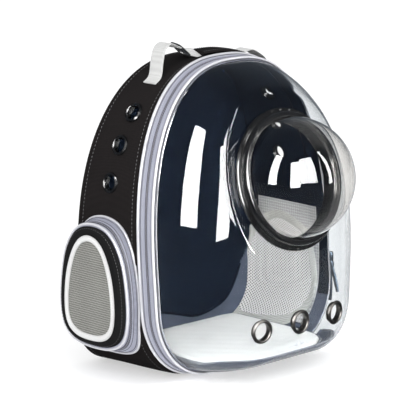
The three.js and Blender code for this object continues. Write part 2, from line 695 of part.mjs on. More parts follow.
add('handle_webbing_right', ribbon(rightWeb, acrossY, HANDLE_W, 2), '#dededd', 0.85);

// Shoulder straps on the back
function strapPath(points) {
  return curve(points.map(([x, z, off]) => v(x, backY(z) + 3 + off, z)), 11);
}
const panelRoom = toManifold(skin([
  backSheet(2, -PANEL_T), backSheet(-GAP, 2 - PANEL_T), backSheet(-GAP, -1), backSheet(3 - GAP, 1.5 + GAP),
], false, true));
const STRAP_ROWS = [
  [-40, 354, 3.9], [-44, 338, 4.6], [-53, 312, 10], [-66, 270, 17], [-78, 215, 19], [-82, 165, 16],
];
function strapShape(grow) {
  const path = strapPath([...STRAP_ROWS, [-84, 130 - grow, 13]]);
  const shape = ribbon(path, () => v(1, -0.045, 0.22), STRAP_W + 2 * grow, STRAP_T + 2 * grow);
  return toManifold(shape);
}
addPair('shoulder_strap', fromManifold(strapShape(0).subtract(panelRoom)), '#232323', 0.8);

// Webbing from the strap's lower end down to the panel, with the adjuster lying on it
const TAIL_ROWS = [[-84, 134, 13], [-90, 102, 11], [-99, 76, 6], [-107, 56, 0.4], [-112, 42, -0.6]];
const tail = toManifold(ribbon(strapPath(TAIL_ROWS), () => v(1, 0, 0.3), WEB_W, WEB_T));
addPair('strap_webbing', fromManifold(tail.subtract(strapShape(GAP)).subtract(panelRoom)), '#2a2a2a', 0.85);
const buckle = v(-87.4, backY(112) + 18.5, 112);
const buckleShape = toManifold(block(buckle, v(-0.3, -0.06, -1).normalize(), v(0, 1, 0), [36, 22, 3.2]));
addPair('strap_adjuster', fromManifold(buckleShape.subtract(strapShape(GAP))), '#1c1c1d', 0.4);

export default group;
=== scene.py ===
"""Looks of the bubble pet carrier backpack. Lengths are in mm, and add_mesh turns them into metres."""
import math
import bmesh
import bpy
import numpy as np
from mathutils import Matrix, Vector


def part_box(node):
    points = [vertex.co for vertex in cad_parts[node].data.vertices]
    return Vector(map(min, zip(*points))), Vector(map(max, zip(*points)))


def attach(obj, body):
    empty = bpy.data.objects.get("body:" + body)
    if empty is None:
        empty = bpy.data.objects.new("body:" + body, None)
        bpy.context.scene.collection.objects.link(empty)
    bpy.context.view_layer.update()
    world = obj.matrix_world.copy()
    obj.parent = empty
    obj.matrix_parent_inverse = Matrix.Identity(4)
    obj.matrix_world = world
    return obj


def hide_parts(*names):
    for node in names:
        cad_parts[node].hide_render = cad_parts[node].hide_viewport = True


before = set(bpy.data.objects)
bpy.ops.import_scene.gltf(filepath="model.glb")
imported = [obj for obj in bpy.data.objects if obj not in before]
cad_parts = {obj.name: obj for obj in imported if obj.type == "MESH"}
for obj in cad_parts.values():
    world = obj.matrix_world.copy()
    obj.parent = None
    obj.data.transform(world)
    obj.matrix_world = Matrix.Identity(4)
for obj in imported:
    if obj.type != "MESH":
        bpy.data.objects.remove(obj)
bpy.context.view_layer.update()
PI = math.pi

# The same driving dimensions as the solids
HALF_W, ARCH_H, SPRING_Z, POWER = 164, 405, 138, 2.5
CLOTH, GAP, BAND_DEPTH, ORIGIN_Y = 3, 0.3, 29, -3.9
RING_C = np.array([0, -79.0, 259])
TILT = math.radians(15.4)
RING_N = np.array([0, -math.cos(TILT), math.sin(TILT)])
FACE_X = 186
WINDOW_MIDDLE = np.array([88.0, 122.0])
WINDOW_STEPS = 240
NET_CELL, SIDE_CELL = (2.5, 3.0), (5.0, 4.2)
RING_HOLE, FRONT_CUT, SIDE_CUT = 83, 12.8, 10.6
LINING_TOP, LINING_BEND, LINING_FALL = 36, 108, 0.575
# One row per ring of the gusset: share of the depth, side, top, base, corner width, corner height
ROWS = np.array([
    [0.00, 0, 0, 4.6, 86, 90], [0.06, -1.1, -0.3, 0, 82, 88], [0.36, -2, 0.5, 0, 76, 80],
    [0.64, -2, 1, 0, 69, 73], [0.86, 0, 2, 1, 62, 66], [0.96, 4, 5, 4, 58, 60], [1.00, 11, 12, 10, 54, 56],
])
WINDOW_FACE = [[0, 40], [35, 43], [58, 58], [65, 90], [61, 135], [52, 169], [31, 197], [0, 204]]
WINDOW_BASE = [[0, 29], [36, 32], [59, 48], [64.5, 88], [61, 136], [53, 173], [33, 202], [0, 211]]
WINDOW_OPENING = [[0, 57], [24, 59], [39, 71], [41.5, 98], [36, 136], [22, 171], [0, 182]]
# Outline of the net on the inner side wall, as depth and height
NET_INSIDE = [
    (152, 18), (154, 59), (148, 103), (133, 137), (108, 152), (91, 158), (65, 152), (38, 138),
    (31, 114), (27, 90), (24.5, 68), (30, 50), (45, 33), (63, 25), (113, 18),
]


# Materials
def rgb(code):
    values = [int(code[i:i + 2], 16) / 255 for i in (1, 3, 5)]
    return [((c + 0.055) / 1.055) ** 2.4 if c > 0.04045 else c / 12.92 for c in values] + [1]


def node(tree, kind, **sockets):
    made = tree.nodes.new("ShaderNode" + kind)
    for key, value in sockets.items():
        name = key.replace("_", " ")
        if name in made.inputs:
            made.inputs[name].default_value = value
        else:
            setattr(made, key, value)
    return made


def material(name, colour, rough=0.8, metal=0.0, weave=0.0, depth=0.3, vary=0.12, grain=0.0, sheen=0.0,
             coat=0.0, spec=0.5, wear=0.05, contrast=0.45):
    """weave is the thread pitch in mm and grain a noise pitch in mm."""
    m = bpy.data.materials.new(name)
    m.use_nodes = True
    t = m.node_tree
    shader = t.nodes["Principled BSDF"]
    for key, value in (("Metallic", metal), ("Specular IOR Level", spec), ("Sheen Weight", sheen),
                       ("Sheen Roughness", 0.5), ("Coat Weight", coat), ("Coat Roughness", 0.08)):
        shader.inputs[key].default_value = value
    place = node(t, "TexCoord").outputs["Object"]
    base = rgb(colour)
    dark = [c * (1 - vary) for c in base[:3]] + [1]
    light = [min(1, c * (1 + vary)) for c in base[:3]] + [1]
    patches = node(t, "TexNoise", Scale=22.0, Detail=4.0)
    t.links.new(place, patches.inputs["Vector"])
    tone = node(t, "Mix", data_type="RGBA")
    tone.inputs[6].default_value, tone.inputs[7].default_value = dark, light
    t.links.new(patches.outputs["Fac"], tone.inputs[0])
    colour_out = tone.outputs[2]
    height = None

    def plus(a, b):
        if a is None:
            return b
        total = node(t, "Math", operation="ADD")
        t.links.new(a, total.inputs[0])
        t.links.new(b, total.inputs[1])
        return total.outputs[0]

    if weave:
        for axis in "XYZ":
            wave = node(t, "TexWave", bands_direction=axis, Scale=314.0 / weave, Distortion=0.6,
                        Detail_Scale=3.0)
            t.links.new(place, wave.inputs["Vector"])
            height = plus(height, wave.outputs["Fac"])
        third = node(t, "Math", operation="MULTIPLY")
        third.inputs[1].default_value = 0.34
        t.links.new(height, third.inputs[0])
        height = third.outputs[0]
        threads = node(t, "Mix", data_type="RGBA", blend_type="MULTIPLY")
        threads.inputs[0].default_value = contrast
        ramp = node(t, "MapRange", To_Min=0.45, To_Max=1.25)
        t.links.new(height, ramp.inputs["Value"])
        t.links.new(colour_out, threads.inputs[6])
        t.links.new(ramp.outputs[0], threads.inputs[7])
        colour_out = threads.outputs[2]
    fine = node(t, "TexNoise", Scale=1000.0 / (grain or 3.0), Detail=6.0)
    t.links.new(place, fine.inputs["Vector"])
    if grain:
        height = plus(height, fine.outputs["Fac"])
    rub = node(t, "MapRange", To_Min=max(0.02, rough - wear), To_Max=min(1.0, rough + wear))
    t.links.new(fine.outputs["Fac"], rub.inputs["Value"])
    t.links.new(rub.outputs[0], shader.inputs["Roughness"])
    t.links.new(colour_out, shader.inputs["Base Color"])
    if height is not None:
        bump = node(t, "Bump", Strength=depth, Distance=0.0004)
        t.links.new(height, bump.inputs["Height"])
        t.links.new(bump.outputs[0], shader.inputs["Normal"])
    return m


def clear_plastic(name, tint, rough, ripple, shine=1.0):
    m = bpy.data.materials.new(name)
    m.use_nodes = True
    t = m.node_tree
    shader = t.nodes["Principled BSDF"]
    for key, value in (("Base Color", rgb(tint)), ("Transmission Weight", 1.0), ("IOR", 1.47),
                       ("Specular Tint", (shine, shine, shine, 1)), ("Roughness", rough)):
        shader.inputs[key].default_value = value
    place = node(t, "TexCoord").outputs["Object"]
    waves = node(t, "TexNoise", Scale=9.0, Detail=1.0)
    t.links.new(place, waves.inputs["Vector"])
    bump = node(t, "Bump", Strength=ripple, Distance=0.002)
    t.links.new(waves.outputs["Fac"], bump.inputs["Height"])
    t.links.new(bump.outputs[0], shader.inputs["Normal"])
    # Light gets in through the clear wall
    path = node(t, "LightPath")
    through = node(t, "BsdfTransparent", Color=(0.93, 0.94, 0.95, 1))
    mix = node(t, "MixShader")
    t.links.new(path.outputs["Is Shadow Ray"], mix.inputs[0])
    t.links.new(shader.outputs[0], mix.inputs[1])
    t.links.new(through.outputs[0], mix.inputs[2])
    t.links.new(mix.outputs[0], t.nodes["Material Output"].inputs["Surface"])
    return m


BLACK = material("black_cloth", "#1a1616", 0.85, weave=1.1, depth=0.35, vary=0.2, spec=0.05)
FRAME = material("black_frame_cloth", "#151516", 0.8, weave=1.3, depth=0.4, spec=0.06)
NAVY = material("navy_lining", "#0c1119", 0.8, weave=0.9, depth=0.2, vary=0.2, spec=0.0)
SLATE = material("slate_cloth", "#3a3f4a", 0.85, weave=1.6, depth=0.4, spec=0.0)
TAPE = material("silver_tape", "#a6a8b8", 0.6, weave=0.8, depth=0.25, sheen=0.1, vary=0.08, spec=0.12)
TAPE_DARK = material("zip_groove", "#2c2c33", 0.6, weave=0.7, depth=0.3)
SEAM = material("seam_shadow", "#55555e", 0.7, grain=1.0)
PIPING = material("white_piping", "#d4d4d9", 0.45, grain=1.2, depth=0.15, vary=0.05, coat=0.2)
PALE = material("pale_binding", "#d9d9d8", 0.75, weave=1.4, depth=0.5, vary=0.08, sheen=0.2)
WEBBING = material("pale_webbing", "#cdcdcb", 0.72, weave=1.5, depth=0.6, vary=0.06, sheen=0.2)
BLACK_WEB = material("black_webbing", "#202021", 0.75, weave=1.5, depth=0.6, spec=0.2)
MESH = material("window_mesh", "#b4b4ae", 0.8, weave=0.9, depth=0.3, vary=0.1, spec=0.04)
NET = material("inner_net", "#bcbab9", 0.85, weave=1.0, depth=0.3, vary=0.06, spec=0.02)
WOVEN = material("woven_side", "#8b8b8c", 0.9, weave=4.2, depth=0.9, vary=0.2, spec=0.0, contrast=0.95)
DARK = material("net_shadow", "#2d2d2e", 0.9, weave=1.5, depth=0.3, spec=0.0)
WOVEN_EDGE = material("woven_edge", "#9c9c99", 0.9, weave=2.4, depth=0.7, vary=0.12, spec=0.0, contrast=0.8)
FLEECE = material("pad_fleece", "#adadab", 0.95, grain=1.5, depth=0.8, vary=0.1, sheen=0.1, spec=0.02)
GREY_BIND = material("grey_binding", "#57595e", 0.85, weave=1.2, depth=0.4, spec=0.03)
GLOSS = material("black_gloss", "#0b0b0c", 0.2, coat=0.3, grain=4.0, depth=0.02, wear=0.04, vary=0.2)
PLASTIC = material("black_plastic", "#1e1e1f", 0.34, grain=0.7, depth=0.12, wear=0.08)
GUNMETAL = material("gunmetal", "#4c4a48", 0.34, metal=1.0, grain=2.0, depth=0.05, wear=0.1, vary=0.2)
COIL = material("zip_coil", "#8f8f9b", 0.4, grain=0.8, depth=0.2)
THREAD = material("thread_pale", "#c9c9cb", 0.7, grain=0.5)
THREAD_DARK = material("thread_dark", "#3a3a3c", 0.7, grain=0.5)
AIRMESH = material("black_air_mesh", "#1c1c1d", 0.88, weave=2.4, depth=0.9, vary=0.2, spec=0.05)
SHELL = clear_plastic("clear_plastic", "#f6f8f9", 0.0, 0.05)
SHELL_INSIDE = clear_plastic("clear_plastic_inside", "#f6f8f9", 0.0, 0.05, 0.0)
DOME = clear_plastic("clear_dome", "#f3f2f0", 0.0, 0.02)
STEEL = material("pull_steel", "#4b545d", 0.36, metal=1.0, grain=2.0, depth=0.05, wear=0.1, vary=0.2)
DOME_INSIDE = clear_plastic("clear_dome_inside", "#f3f2f0", 0.0, 0.02, 0.12)


# Mesh helpers
def add_mesh(name, points, faces, mats, slot, replaces=(), which=None, angle=45, flip_check=True):
    data = bpy.data.meshes.new(name)
    points = (np.asarray(points, float).reshape(-1, 3) + (0, ORIGIN_Y, 0)) * 0.001
    data.from_pydata(points.tolist(), [], [list(map(int, f)) for f in faces])
    for m in mats if isinstance(mats, (list, tuple)) else [mats]:
        data.materials.append(m)
    if which is not None:
        data.polygons.foreach_set("material_index", np.asarray(which, np.int32))
    data.polygons.foreach_set("use_smooth", np.ones(len(data.polygons), bool))
    if flip_check:
        b = bmesh.new()
        b.from_mesh(data)
        bmesh.ops.recalc_face_normals(b, faces=b.faces)
        b.to_mesh(data)
        b.free()
    data.set_sharp_from_angle(angle=math.radians(angle))
    o = bpy.data.objects.new(name, data)
    bpy.context.scene.collection.objects.link(o)
    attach(o, "root")
    if replaces:
        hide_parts(*replaces)
    return o


def block_sides(k):
    """Four side faces between the four corners at k and the four after them."""
    return [(k + j, k + (j + 1) % 4, k + 4 + (j + 1) % 4, k + 4 + j) for j in range(4)]


def joining_faces(a, b, n):
    """Faces between two rings of n points that start at a and b."""
    return [(a + j, a + (j + 1) % n, b + (j + 1) % n, b + j) for j in range(n)]


def grid_faces(n, m, close_n=False, close_m=False, base=0):
    faces = []
    for i in range(n if close_n else n - 1):
        a, b = base + i * m, base + ((i + 1) % n) * m
        for j in range(m if close_m else m - 1):
            k = (j + 1) % m
            faces.append((a + j, a + k, b + k, b + j))
    return faces


def shell_of(name, rings, mats, slot, replaces=(), cap=True, **more):
    """Skin over closed rings; the first and last are capped."""
    rings = np.asarray(rings, float)
    n, m = rings.shape[:2]
    faces = grid_faces(n, m, False, True)
    if cap:
        faces += [tuple(range(m))[::-1], tuple(range((n - 1) * m, n * m))]
    return add_mesh(name, rings, faces, mats, slot, replaces, **more)


def torus_of(name, rings, mats, slot, replaces=(), **more):
    """Skin over closed rings that also close on themselves."""
    rings = np.asarray(rings, float)
    n, m = rings.shape[:2]
    return add_mesh(name, rings, grid_faces(n, m, True, True), mats, slot, replaces, **more)


CORNERS = ((-1, -1), (1, -1), (1, 1), (-1, 1))


def unit(a):
    return a / np.maximum(np.linalg.norm(a, axis=-1, keepdims=True), 1e-9)


def resample(line, n, closed=True):
    line = np.asarray(line, float)
    if closed:
        line = np.vstack([line, line[:1]])
    run = np.concatenate([[0], np.cumsum(np.linalg.norm(np.diff(line, axis=0), axis=1))])
    at = np.linspace(0, run[-1], n, endpoint=not closed)
    return np.stack([np.interp(at, run, line[:, k]) for k in range(line.shape[1])], 1)


def spline(points, n):
    """Catmull-Rom line through the points."""
    p = np.asarray(points, float)
    p = np.vstack([2 * p[0] - p[1], p, 2 * p[-1] - p[-2]])
    out = []
    count = len(p) - 3
    for u in np.linspace(0, count, n):
        i = min(int(u), count - 1)
        t = u - i
        a, b, c, d = p[i:i + 4]
        square = (2 * a - 5 * b + 4 * c - d) * t * t
        cube = (3 * b - a - 3 * c + d) * t ** 3
        out.append(0.5 * (2 * b + (c - a) * t + square + cube))
    return np.array(out)


def tangents(path, closed):
    if closed:
        return unit(np.roll(path, -1, 0) - np.roll(path, 1, 0))
    return unit(np.gradient(path, axis=0))


def sweep(name, path, out, profile, mats, slot, replaces=(), closed=True, **more):
    """profile is a closed list of (along out, along side)."""
    path, out = np.asarray(path, float), np.asarray(out, float)
    along = tangents(path, closed)
    out = unit(out - along * (out * along).sum(1, keepdims=True))
    side = np.cross(along, out)
    rings = np.stack([path + out * a + side * b for a, b in profile], 1)
    return (torus_of if closed else shell_of)(name, rings, mats, slot, replaces, **more)


def round_profile(radius, sides=8, flat=1.0):
    turn = np.linspace(0, 2 * PI, sides, endpoint=False)
    return [(radius * math.cos(a), radius * flat * math.sin(a)) for a in turn]


def slab_profile(width, thick, crown=0.0, steps=10, edge=None):
    """Section of a band: rounded edges, crowned on both faces. (along out, along side)"""
    w, t = width / 2, thick / 2
    edge = edge or t
    us = np.linspace(-1, 1, steps)
    top = [(t * (1 - abs(u) ** (w / edge)) ** 0.5 + crown * (1 - u * u), u * w) for u in us]
    low = [(-t * (1 - abs(u) ** (w / edge)) ** 0.5 - crown * (1 - u * u), u * w) for u in us[::-1][1:-1]]
    return top + low


def stitch_line(name, path, out, mats, slot, length=3.2, pitch=5.0, radius=0.38, closed=False):
    path = np.asarray(path, float)
    loop = np.vstack([path, path[:1]]) if closed else path
    total = np.linalg.norm(np.diff(loop, axis=0), axis=1).sum()
    n = max(2, int(total / pitch))
    both = np.hstack([path, np.broadcast_to(out, path.shape)])
    if closed:
        both = np.vstack([both, both[:1]])
    run = np.concatenate([[0], np.cumsum(np.linalg.norm(np.diff(both[:, :3], axis=0), axis=1))])
    at = (np.arange(n) + 0.5) / n * run[-1]

    def along(shift):
        return np.stack([np.interp(at + shift, run, column) for column in both.T], 1)

    mid = along(0)
    ahead = unit((along(0.5) - along(-0.5))[:, :3])
    up = unit(mid[:, 3:])
    side = np.cross(ahead, up)
    pts, faces = [], []
    for c, a, u, s in zip(mid[:, :3], ahead, up, side):
        b = len(pts)
        pts += [c - a * length / 2 - u * radius * 0.6]
        for k in (-0.3, 0.3):
            pts += [c + a * k * length + u * radius, c + a * k * length + s * radius,
                    c + a * k * length - u * radius, c + a * k * length - s * radius]
        pts += [c + a * length / 2 - u * radius * 0.6]
        for j in range(4):
            k = (j + 1) % 4
            near, far = b + 1, b + 5
            faces += [(b, near + k, near + j), (near + j, near + k, far + k, far + j)]
            faces.append((b + 9, far + j, far + k))
    return add_mesh(name, pts, faces, mats, slot, flip_check=False)


def turned(name, profile, centre, axis, mats, slot, replaces=(), segments=72, **more):
    helper = np.array([1.0, 0, 0]) if abs(axis[2]) > 0.9 else np.array([0, 0, 1.0])
    e1 = unit(np.cross(helper, axis))
    e2 = np.cross(axis, e1)
    turn = np.linspace(0, 2 * PI, segments, endpoint=False)
    radial = np.outer(np.cos(turn), e1) + np.outer(np.sin(turn), e2)
    profile = np.asarray(profile, float)
    rings = centre + radial[:, None, :] * profile[None, :, :1] + np.asarray(axis) * profile[None, :, 1:]
    return torus_of(name, rings, mats, slot, replaces, **more)


def ripple(p, scale, seed=0.0):
    """Smooth made-up unevenness between -1 and 1."""
    x, y, z = p[..., 0] / scale, p[..., 1] / scale, p[..., 2] / scale
    return (np.sin(1.3 * x + 2.1 * z + seed) + np.sin(2.3 * y - 1.1 * x + 1.7 + seed)
            + np.sin(1.9 * z + 0.7 * y + 4 * seed + 0.5) + np.sin(3.1 * x + 2.7 * y + 0.3 * z + seed)) / 4


def inside(points, outline):
    """Even-odd test of points (n, 2) in a closed outline."""
    points, outline = np.asarray(points, float), np.asarray(outline, float)
    hit = np.zeros(len(points), bool)
    for a, b in zip(outline, np.roll(outline, -1, 0)):
        cross = (a[1] > points[:, 1]) != (b[1] > points[:, 1])
        x = a[0] + (points[:, 1] - a[1]) / (b[1] - a[1] + 1e-12) * (b[0] - a[0])
        hit ^= cross & (points[:, 0] < x)
    return hit


# Surfaces of the bag
def arch(side=0, top=0, base=0, cx=86, cz=92, n=300):
    w, h = HALF_W - side, ARCH_H - top
    half = [(0, base)]
    half += [(w - cx + cx * math.sin(a), base + cz - cz * math.cos(a)) for a in np.linspace(0, PI / 2, 24)]
    half += [(w * math.cos(a) ** (2 / POWER), SPRING_Z + (h - SPRING_Z) * math.sin(a) ** (2 / POWER))
             for a in np.linspace(0, PI / 2 - 1e-6, 80)]
    half = np.array(half)
    other = half[1:-1][::-1] * (-1, 1)
    return resample(np.vstack([half, other]), n)


def band_y(z):
    return 12.5 + 0.08 * z


def rim_y(z):
    return band_y(z) - BAND_DEPTH


def back_y(z):
    t = np.clip((z - 200) / 200, 0, 1.2)
    return 157 - 0.04 * z - 20 * t * t


def gusset_ring(row, inset=0.0, push=0.0, n=300):
    s, side, top, base, cx, cz = row
    line = arch(side + inset, top + inset, base + inset, cx - inset, cz - inset, n)
    x, z = line[:, 0], line[:, 1]
    return np.stack([x, band_y(z) * (1 - s) + back_y(z) * s + push, z], 1)


def gusset_x(y, z, inset=0.0):
    """Half width of the gusset at depth y and height z."""
    y, z = np.asarray(y, float), np.asarray(z, float)
    s = np.clip((y - band_y(z)) / (back_y(z) - band_y(z)), 0, 1)
    side, top, base, cx, cz = [np.interp(s, ROWS[:, 0], ROWS[:, k]) for k in range(1, 6)]
    w, h = HALF_W - side - inset, ARCH_H - top - inset
    base, cx, cz = base + inset, cx - inset, cz - inset
    high = np.clip((z - SPRING_Z) / (h - SPRING_Z), 0, 1)
    low = np.clip((base + cz - z) / cz, 0, 1)
    return np.where(z > SPRING_Z, w * (1 - high ** POWER) ** (1 / POWER), w - cx + cx * np.sqrt(1 - low ** 2))


def side_normal(x, z, w=166.0, h=404.0):
    up = np.maximum(np.asarray(z, float) - SPRING_Z, 0) / (h - SPRING_Z)
    nx = (np.abs(x) / w) ** (POWER - 1) / w
    nz = up ** (POWER - 1) / (h - SPRING_Z)
    n = np.stack([np.sign(x) * nx, 0 * nx, nz], -1)
    return unit(n)


def rim_outline(inset, n=300):
    return arch(5 + inset, 4 + inset, 9 + inset, 84 - inset, 86 - inset, n)


def soften(value, limit, blend):
    d = (value - limit) / blend
    return np.where(d > 1, limit, np.where(d < -1, value, value - blend * (d + 1) ** 2 / 4))


def smoothstep(x, a, b):
    t = np.clip((x - a) / (b - a), 0, 1)
    return t * t * (3 - 2 * t)


def shell_point(rim, t, shrink):
    """Blister surface: rim (n, 2) as x and z, t from 0 at the rim to a quarter turn at the front pole."""
    x0, z0 = rim[:, 0], rim[:, 1]
    up = smoothstep(z0, 45 - 100, 45 + 100)
    power = 3.5 * (1 - up) + 4.1 * up
    share = math.cos(t) ** (2 / power)
    low = np.clip((45 - z0) / 45, 0, 1)
    x = x0 * share
    z = 45 + (z0 - 45) * share + 7 * low * math.sin(t) ** 2
    h = (z - 45) / 100
    reach = 88 + 9.5 * h + 3.1 * h * h - shrink
    p = np.stack([x, rim_y(z) - reach * math.sin(t) ** (2 / 1.34), z], 1)
    away = p - RING_C
    n = away @ RING_N
    off = np.linalg.norm(away - n[:, None] * RING_N, axis=1)
    seat = -GAP - shrink
    hold = 1 - smoothstep(off, 92, 96.5)
    wanted = soften(n, seat, 4) * (1 - hold) + seat * hold
    p[:, 1] += (n - wanted) / math.cos(TILT)
    return p


def shell_rings(shrink, steps=112, n=390, inset=0.0):
    ts = np.arccos((1 - np.linspace(0, 0.99, steps) ** 2) ** 1.9)
    rim = rim_outline(GAP + shrink + inset, n)
    return np.array([shell_point(rim, t, shrink) for t in ts])


# Gusset
def fine_rows(count):
    """The ring table read smoothly; the rear edge keeps its tight turn."""
    return spline(ROWS, count)


def chaikin(line, times=3):
    line = np.asarray(line, float)
    for _ in range(times):
        nxt = np.roll(line, -1, 0)
        line = np.stack([line * 0.75 + nxt * 0.25, line * 0.25 + nxt * 0.75], 1).reshape(-1, 2)
    return line


def closed_half(half, centre, grow=0.0, n=160):
    full = np.array(half + [[-y, z] for y, z in half[1:-1][::-1]], float)
    away = full - (0, 122)
    length = np.linalg.norm(away, axis=1, keepdims=True)
    full = (0, 122) + away * (length + grow) / length
    return resample(chaikin(full + (centre, 0)), n)


def face_line(grow, n=160):
    return closed_half(WINDOW_FACE, 88, grow, n)


def base_line(grow, n=160):
    return closed_half(WINDOW_BASE, 88, grow, n)


def open_line(grow, n=160):
    return closed_half(WINDOW_OPENING, 94, grow, n)


def node_centre(name):
    low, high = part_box(name)
    return np.array((low + high) / 2) * 1000 - (0, ORIGIN_Y, 0)


rows = fine_rows(46)
outer = np.array([gusset_ring(r) for r in rows])
inner = np.array([gusset_ring(r, CLOTH) for r in rows])
outward = unit(np.stack([outer[..., 0], 0 * outer[..., 0], outer[..., 2] - 150], -1))
puff = np.sin(np.clip(rows[:, 0], 0, 1) * PI)[:, None]
outer = outer + outward * (ripple(outer, 46, 0.4) * 1.3 * puff)[..., None]
n_r, n_c = outer.shape[:2]
side_eyes = [node_centre(f"side_eyelet_{i}_{s}") for i in (1, 2, 3) for s in ("left", "right")]
points = np.vstack([outer.reshape(-1, 3), inner.reshape(-1, 3)])
opening = face_line(-5)
kept, which = [], []
for layer, (base, mat_index) in enumerate(((0, 0), (n_r * n_c, 1))):
    quads = np.array(grid_faces(n_r, n_c, False, True, base))
    middle = points[quads].mean(1)
    cut = (np.abs(middle[:, 0]) > 100) & inside(middle[:, 1:], opening)
    for eye in side_eyes:
        cut |= np.linalg.norm(middle - eye, axis=1) < SIDE_CUT
    kept += quads[~cut].tolist()
    low = (middle[~cut][:, 2] < 62) & (layer == 1)
    which += np.where(low, 2, mat_index).tolist()
for row in (0, n_r - 1):
    kept += joining_faces(row * n_c, (n_r + row) * n_c, n_c)
    which += [0] * n_c
add_mesh("gusset_cloth", points, kept, [BLACK, NAVY, SLATE], "black_cloth", ["gusset"], which)

# Seams of the gusset: a welt near the back and a stitched line near the band
def gusset_line(s, lift=0.0, n=480):
    row = np.array([np.interp(s, ROWS[:, 0], ROWS[:, k]) for k in range(6)])
    line = gusset_ring(row, -lift, 0, n)
    out = unit(np.stack([np.gradient(line[:, 2]), 0 * line[:, 0], -np.gradient(line[:, 0])], 1))
    return line, out


for label, s, lift, r in (("rear_welt", 0.925, 0.6, 1.9), ("front_welt", 0.035, 0.2, 1.1)):
    line, out = gusset_line(s, lift)
    sweep(f"gusset_{label}", line, out, round_profile(r, 8), BLACK, "black_cloth")
line, out = gusset_line(0.075, 0.3)
stitch_line("gusset_stitches_front", line, out, THREAD_DARK, "black_cloth", closed=True)
line, out = gusset_line(0.86, 0.35)
stitch_line("gusset_stitches_rear", line, out, THREAD_DARK, "black_cloth", closed=True)


# Zip band
def band_ring(share, lift=0.0, n=480):
    rear = arch(-lift, -lift, 4.6 - lift, 86 + lift, 90 + lift, n)
    front = rim_outline(-lift, n)
    line = rear * (1 - share) + front * share
    y = band_y(line[:, 1]) - BAND_DEPTH * share
    return np.stack([line[:, 0], y, line[:, 1]], 1)


def band_out(line):
    along = tangents(line, True)
    return unit(np.stack([along[:, 2], 0 * along[:, 0], -along[:, 0]], 1))


def band_strip(name, shares, lifts, thick, mats, slot, replaces=()):
    top = [band_ring(s, l) for s, l in zip(shares, lifts)]
    low = [band_ring(s, l - thick) for s, l in zip(shares[::-1], lifts[::-1])]
    rings = np.array(top + low)
    middle = (rings + np.roll(rings, -1, 0)) / 2
    which = np.where(middle[..., 2] > 66, 1, 2)
    which[:len(top) - 1] = 0
    return torus_of(name, rings, [mats, NAVY, SLATE], slot, replaces, which=which.ravel(), angle=60)


band_strip("band_tape_rear", [0.012, 0.05, 0.2, 0.33, 0.415], [0.0, 0.9, 1.7, 1.7, 0.9], 2.2, TAPE,
           "silver_tape", ["zip_band_tape"])
band_strip("band_tape_front", [0.535, 0.6, 0.72, 0.82, 0.93, 0.99], [0.9, 1.7, 1.9, 1.5, 1.0, 0.0], 2.2, TAPE,
           "silver_tape")
band_strip("band_groove", [0.38, 0.475, 0.57], [0.3, 0.1, 0.3], 0.9, TAPE_DARK, "zip_coil")
band_strip("band_lining", [0.02, 0.25, 0.5, 0.75, 0.97], [-2.0, -1.9, -1.9, -1.9, -2.1], 0.5, NAVY,
           "navy_lining")
for label, share, lift, r, mat_, slot_, node_ in (
    ("rear_piping", 0.10, 2.2, 2.0, PIPING, "white_piping", ["zip_band_rear_piping"]),
    ("front_piping", 0.885, 2.3, 1.9, PIPING, "white_piping", ["zip_band_front_piping"]),
    ("edge_rear", 0.03, 0.9, 0.8, SEAM, "zip_coil", ()),
    ("edge_front", 0.975, 1.1, 0.8, TAPE_DARK, "zip_coil", ()),
    ("seam_front", 0.79, 2.0, 0.55, SEAM, "zip_coil", ()),
    ("seam_rear", 0.21, 2.0, 0.45, SEAM, "zip_coil", ()),
):
    line = band_ring(share, lift)
    sweep(f"band_{label}", line, band_out(line), round_profile(r, 8), mat_, slot_, node_)


def coil(name, line, out, mats, slot, pitch, size, replaces=()):
    """Zip teeth: two rows of small rounded blocks that meet in the middle."""
    length = np.linalg.norm(np.diff(np.vstack([line, line[:1]]), axis=0), axis=1).sum()
    line = resample(line, int(length / pitch))
    along = tangents(line, True)
    out = out(line) if callable(out) else np.broadcast_to(out, line.shape)
    side = unit(np.cross(along, out))
    a, b, c = size
    pts, faces = [], []
    for i in range(len(line)):
        s = 1 if i % 2 else -1
        mid = line[i] + side[i] * s * b * 0.28
        k = len(pts)
        for size_there, h in ((1, 0), (0.6, 1)):
            for u, w in CORNERS:
                across = side[i] * w * size_there * b / 2
                pts.append(mid + along[i] * u * size_there * a / 2 + across + out[i] * h * c)
        faces += [(k, k + 3, k + 2, k + 1), (k + 4, k + 5, k + 6, k + 7)]
        faces += block_sides(k)
    return add_mesh(name, pts, faces, mats, slot, replaces, angle=30)


coil("band_teeth", band_ring(0.475, 0.7), band_out, COIL, "zip_coil", 1.5, (1.0, 2.6, 1.5), ["zip_band_coil"])
for label, share, lift in (("a", 0.30, 1.9), ("b", 0.665, 2.0)):
    line = band_ring(share, lift)
    stitch_line(f"band_stitches_{label}", line, band_out(line), THREAD, "silver_tape", 2.0, 3.2, 0.3,
                closed=True)

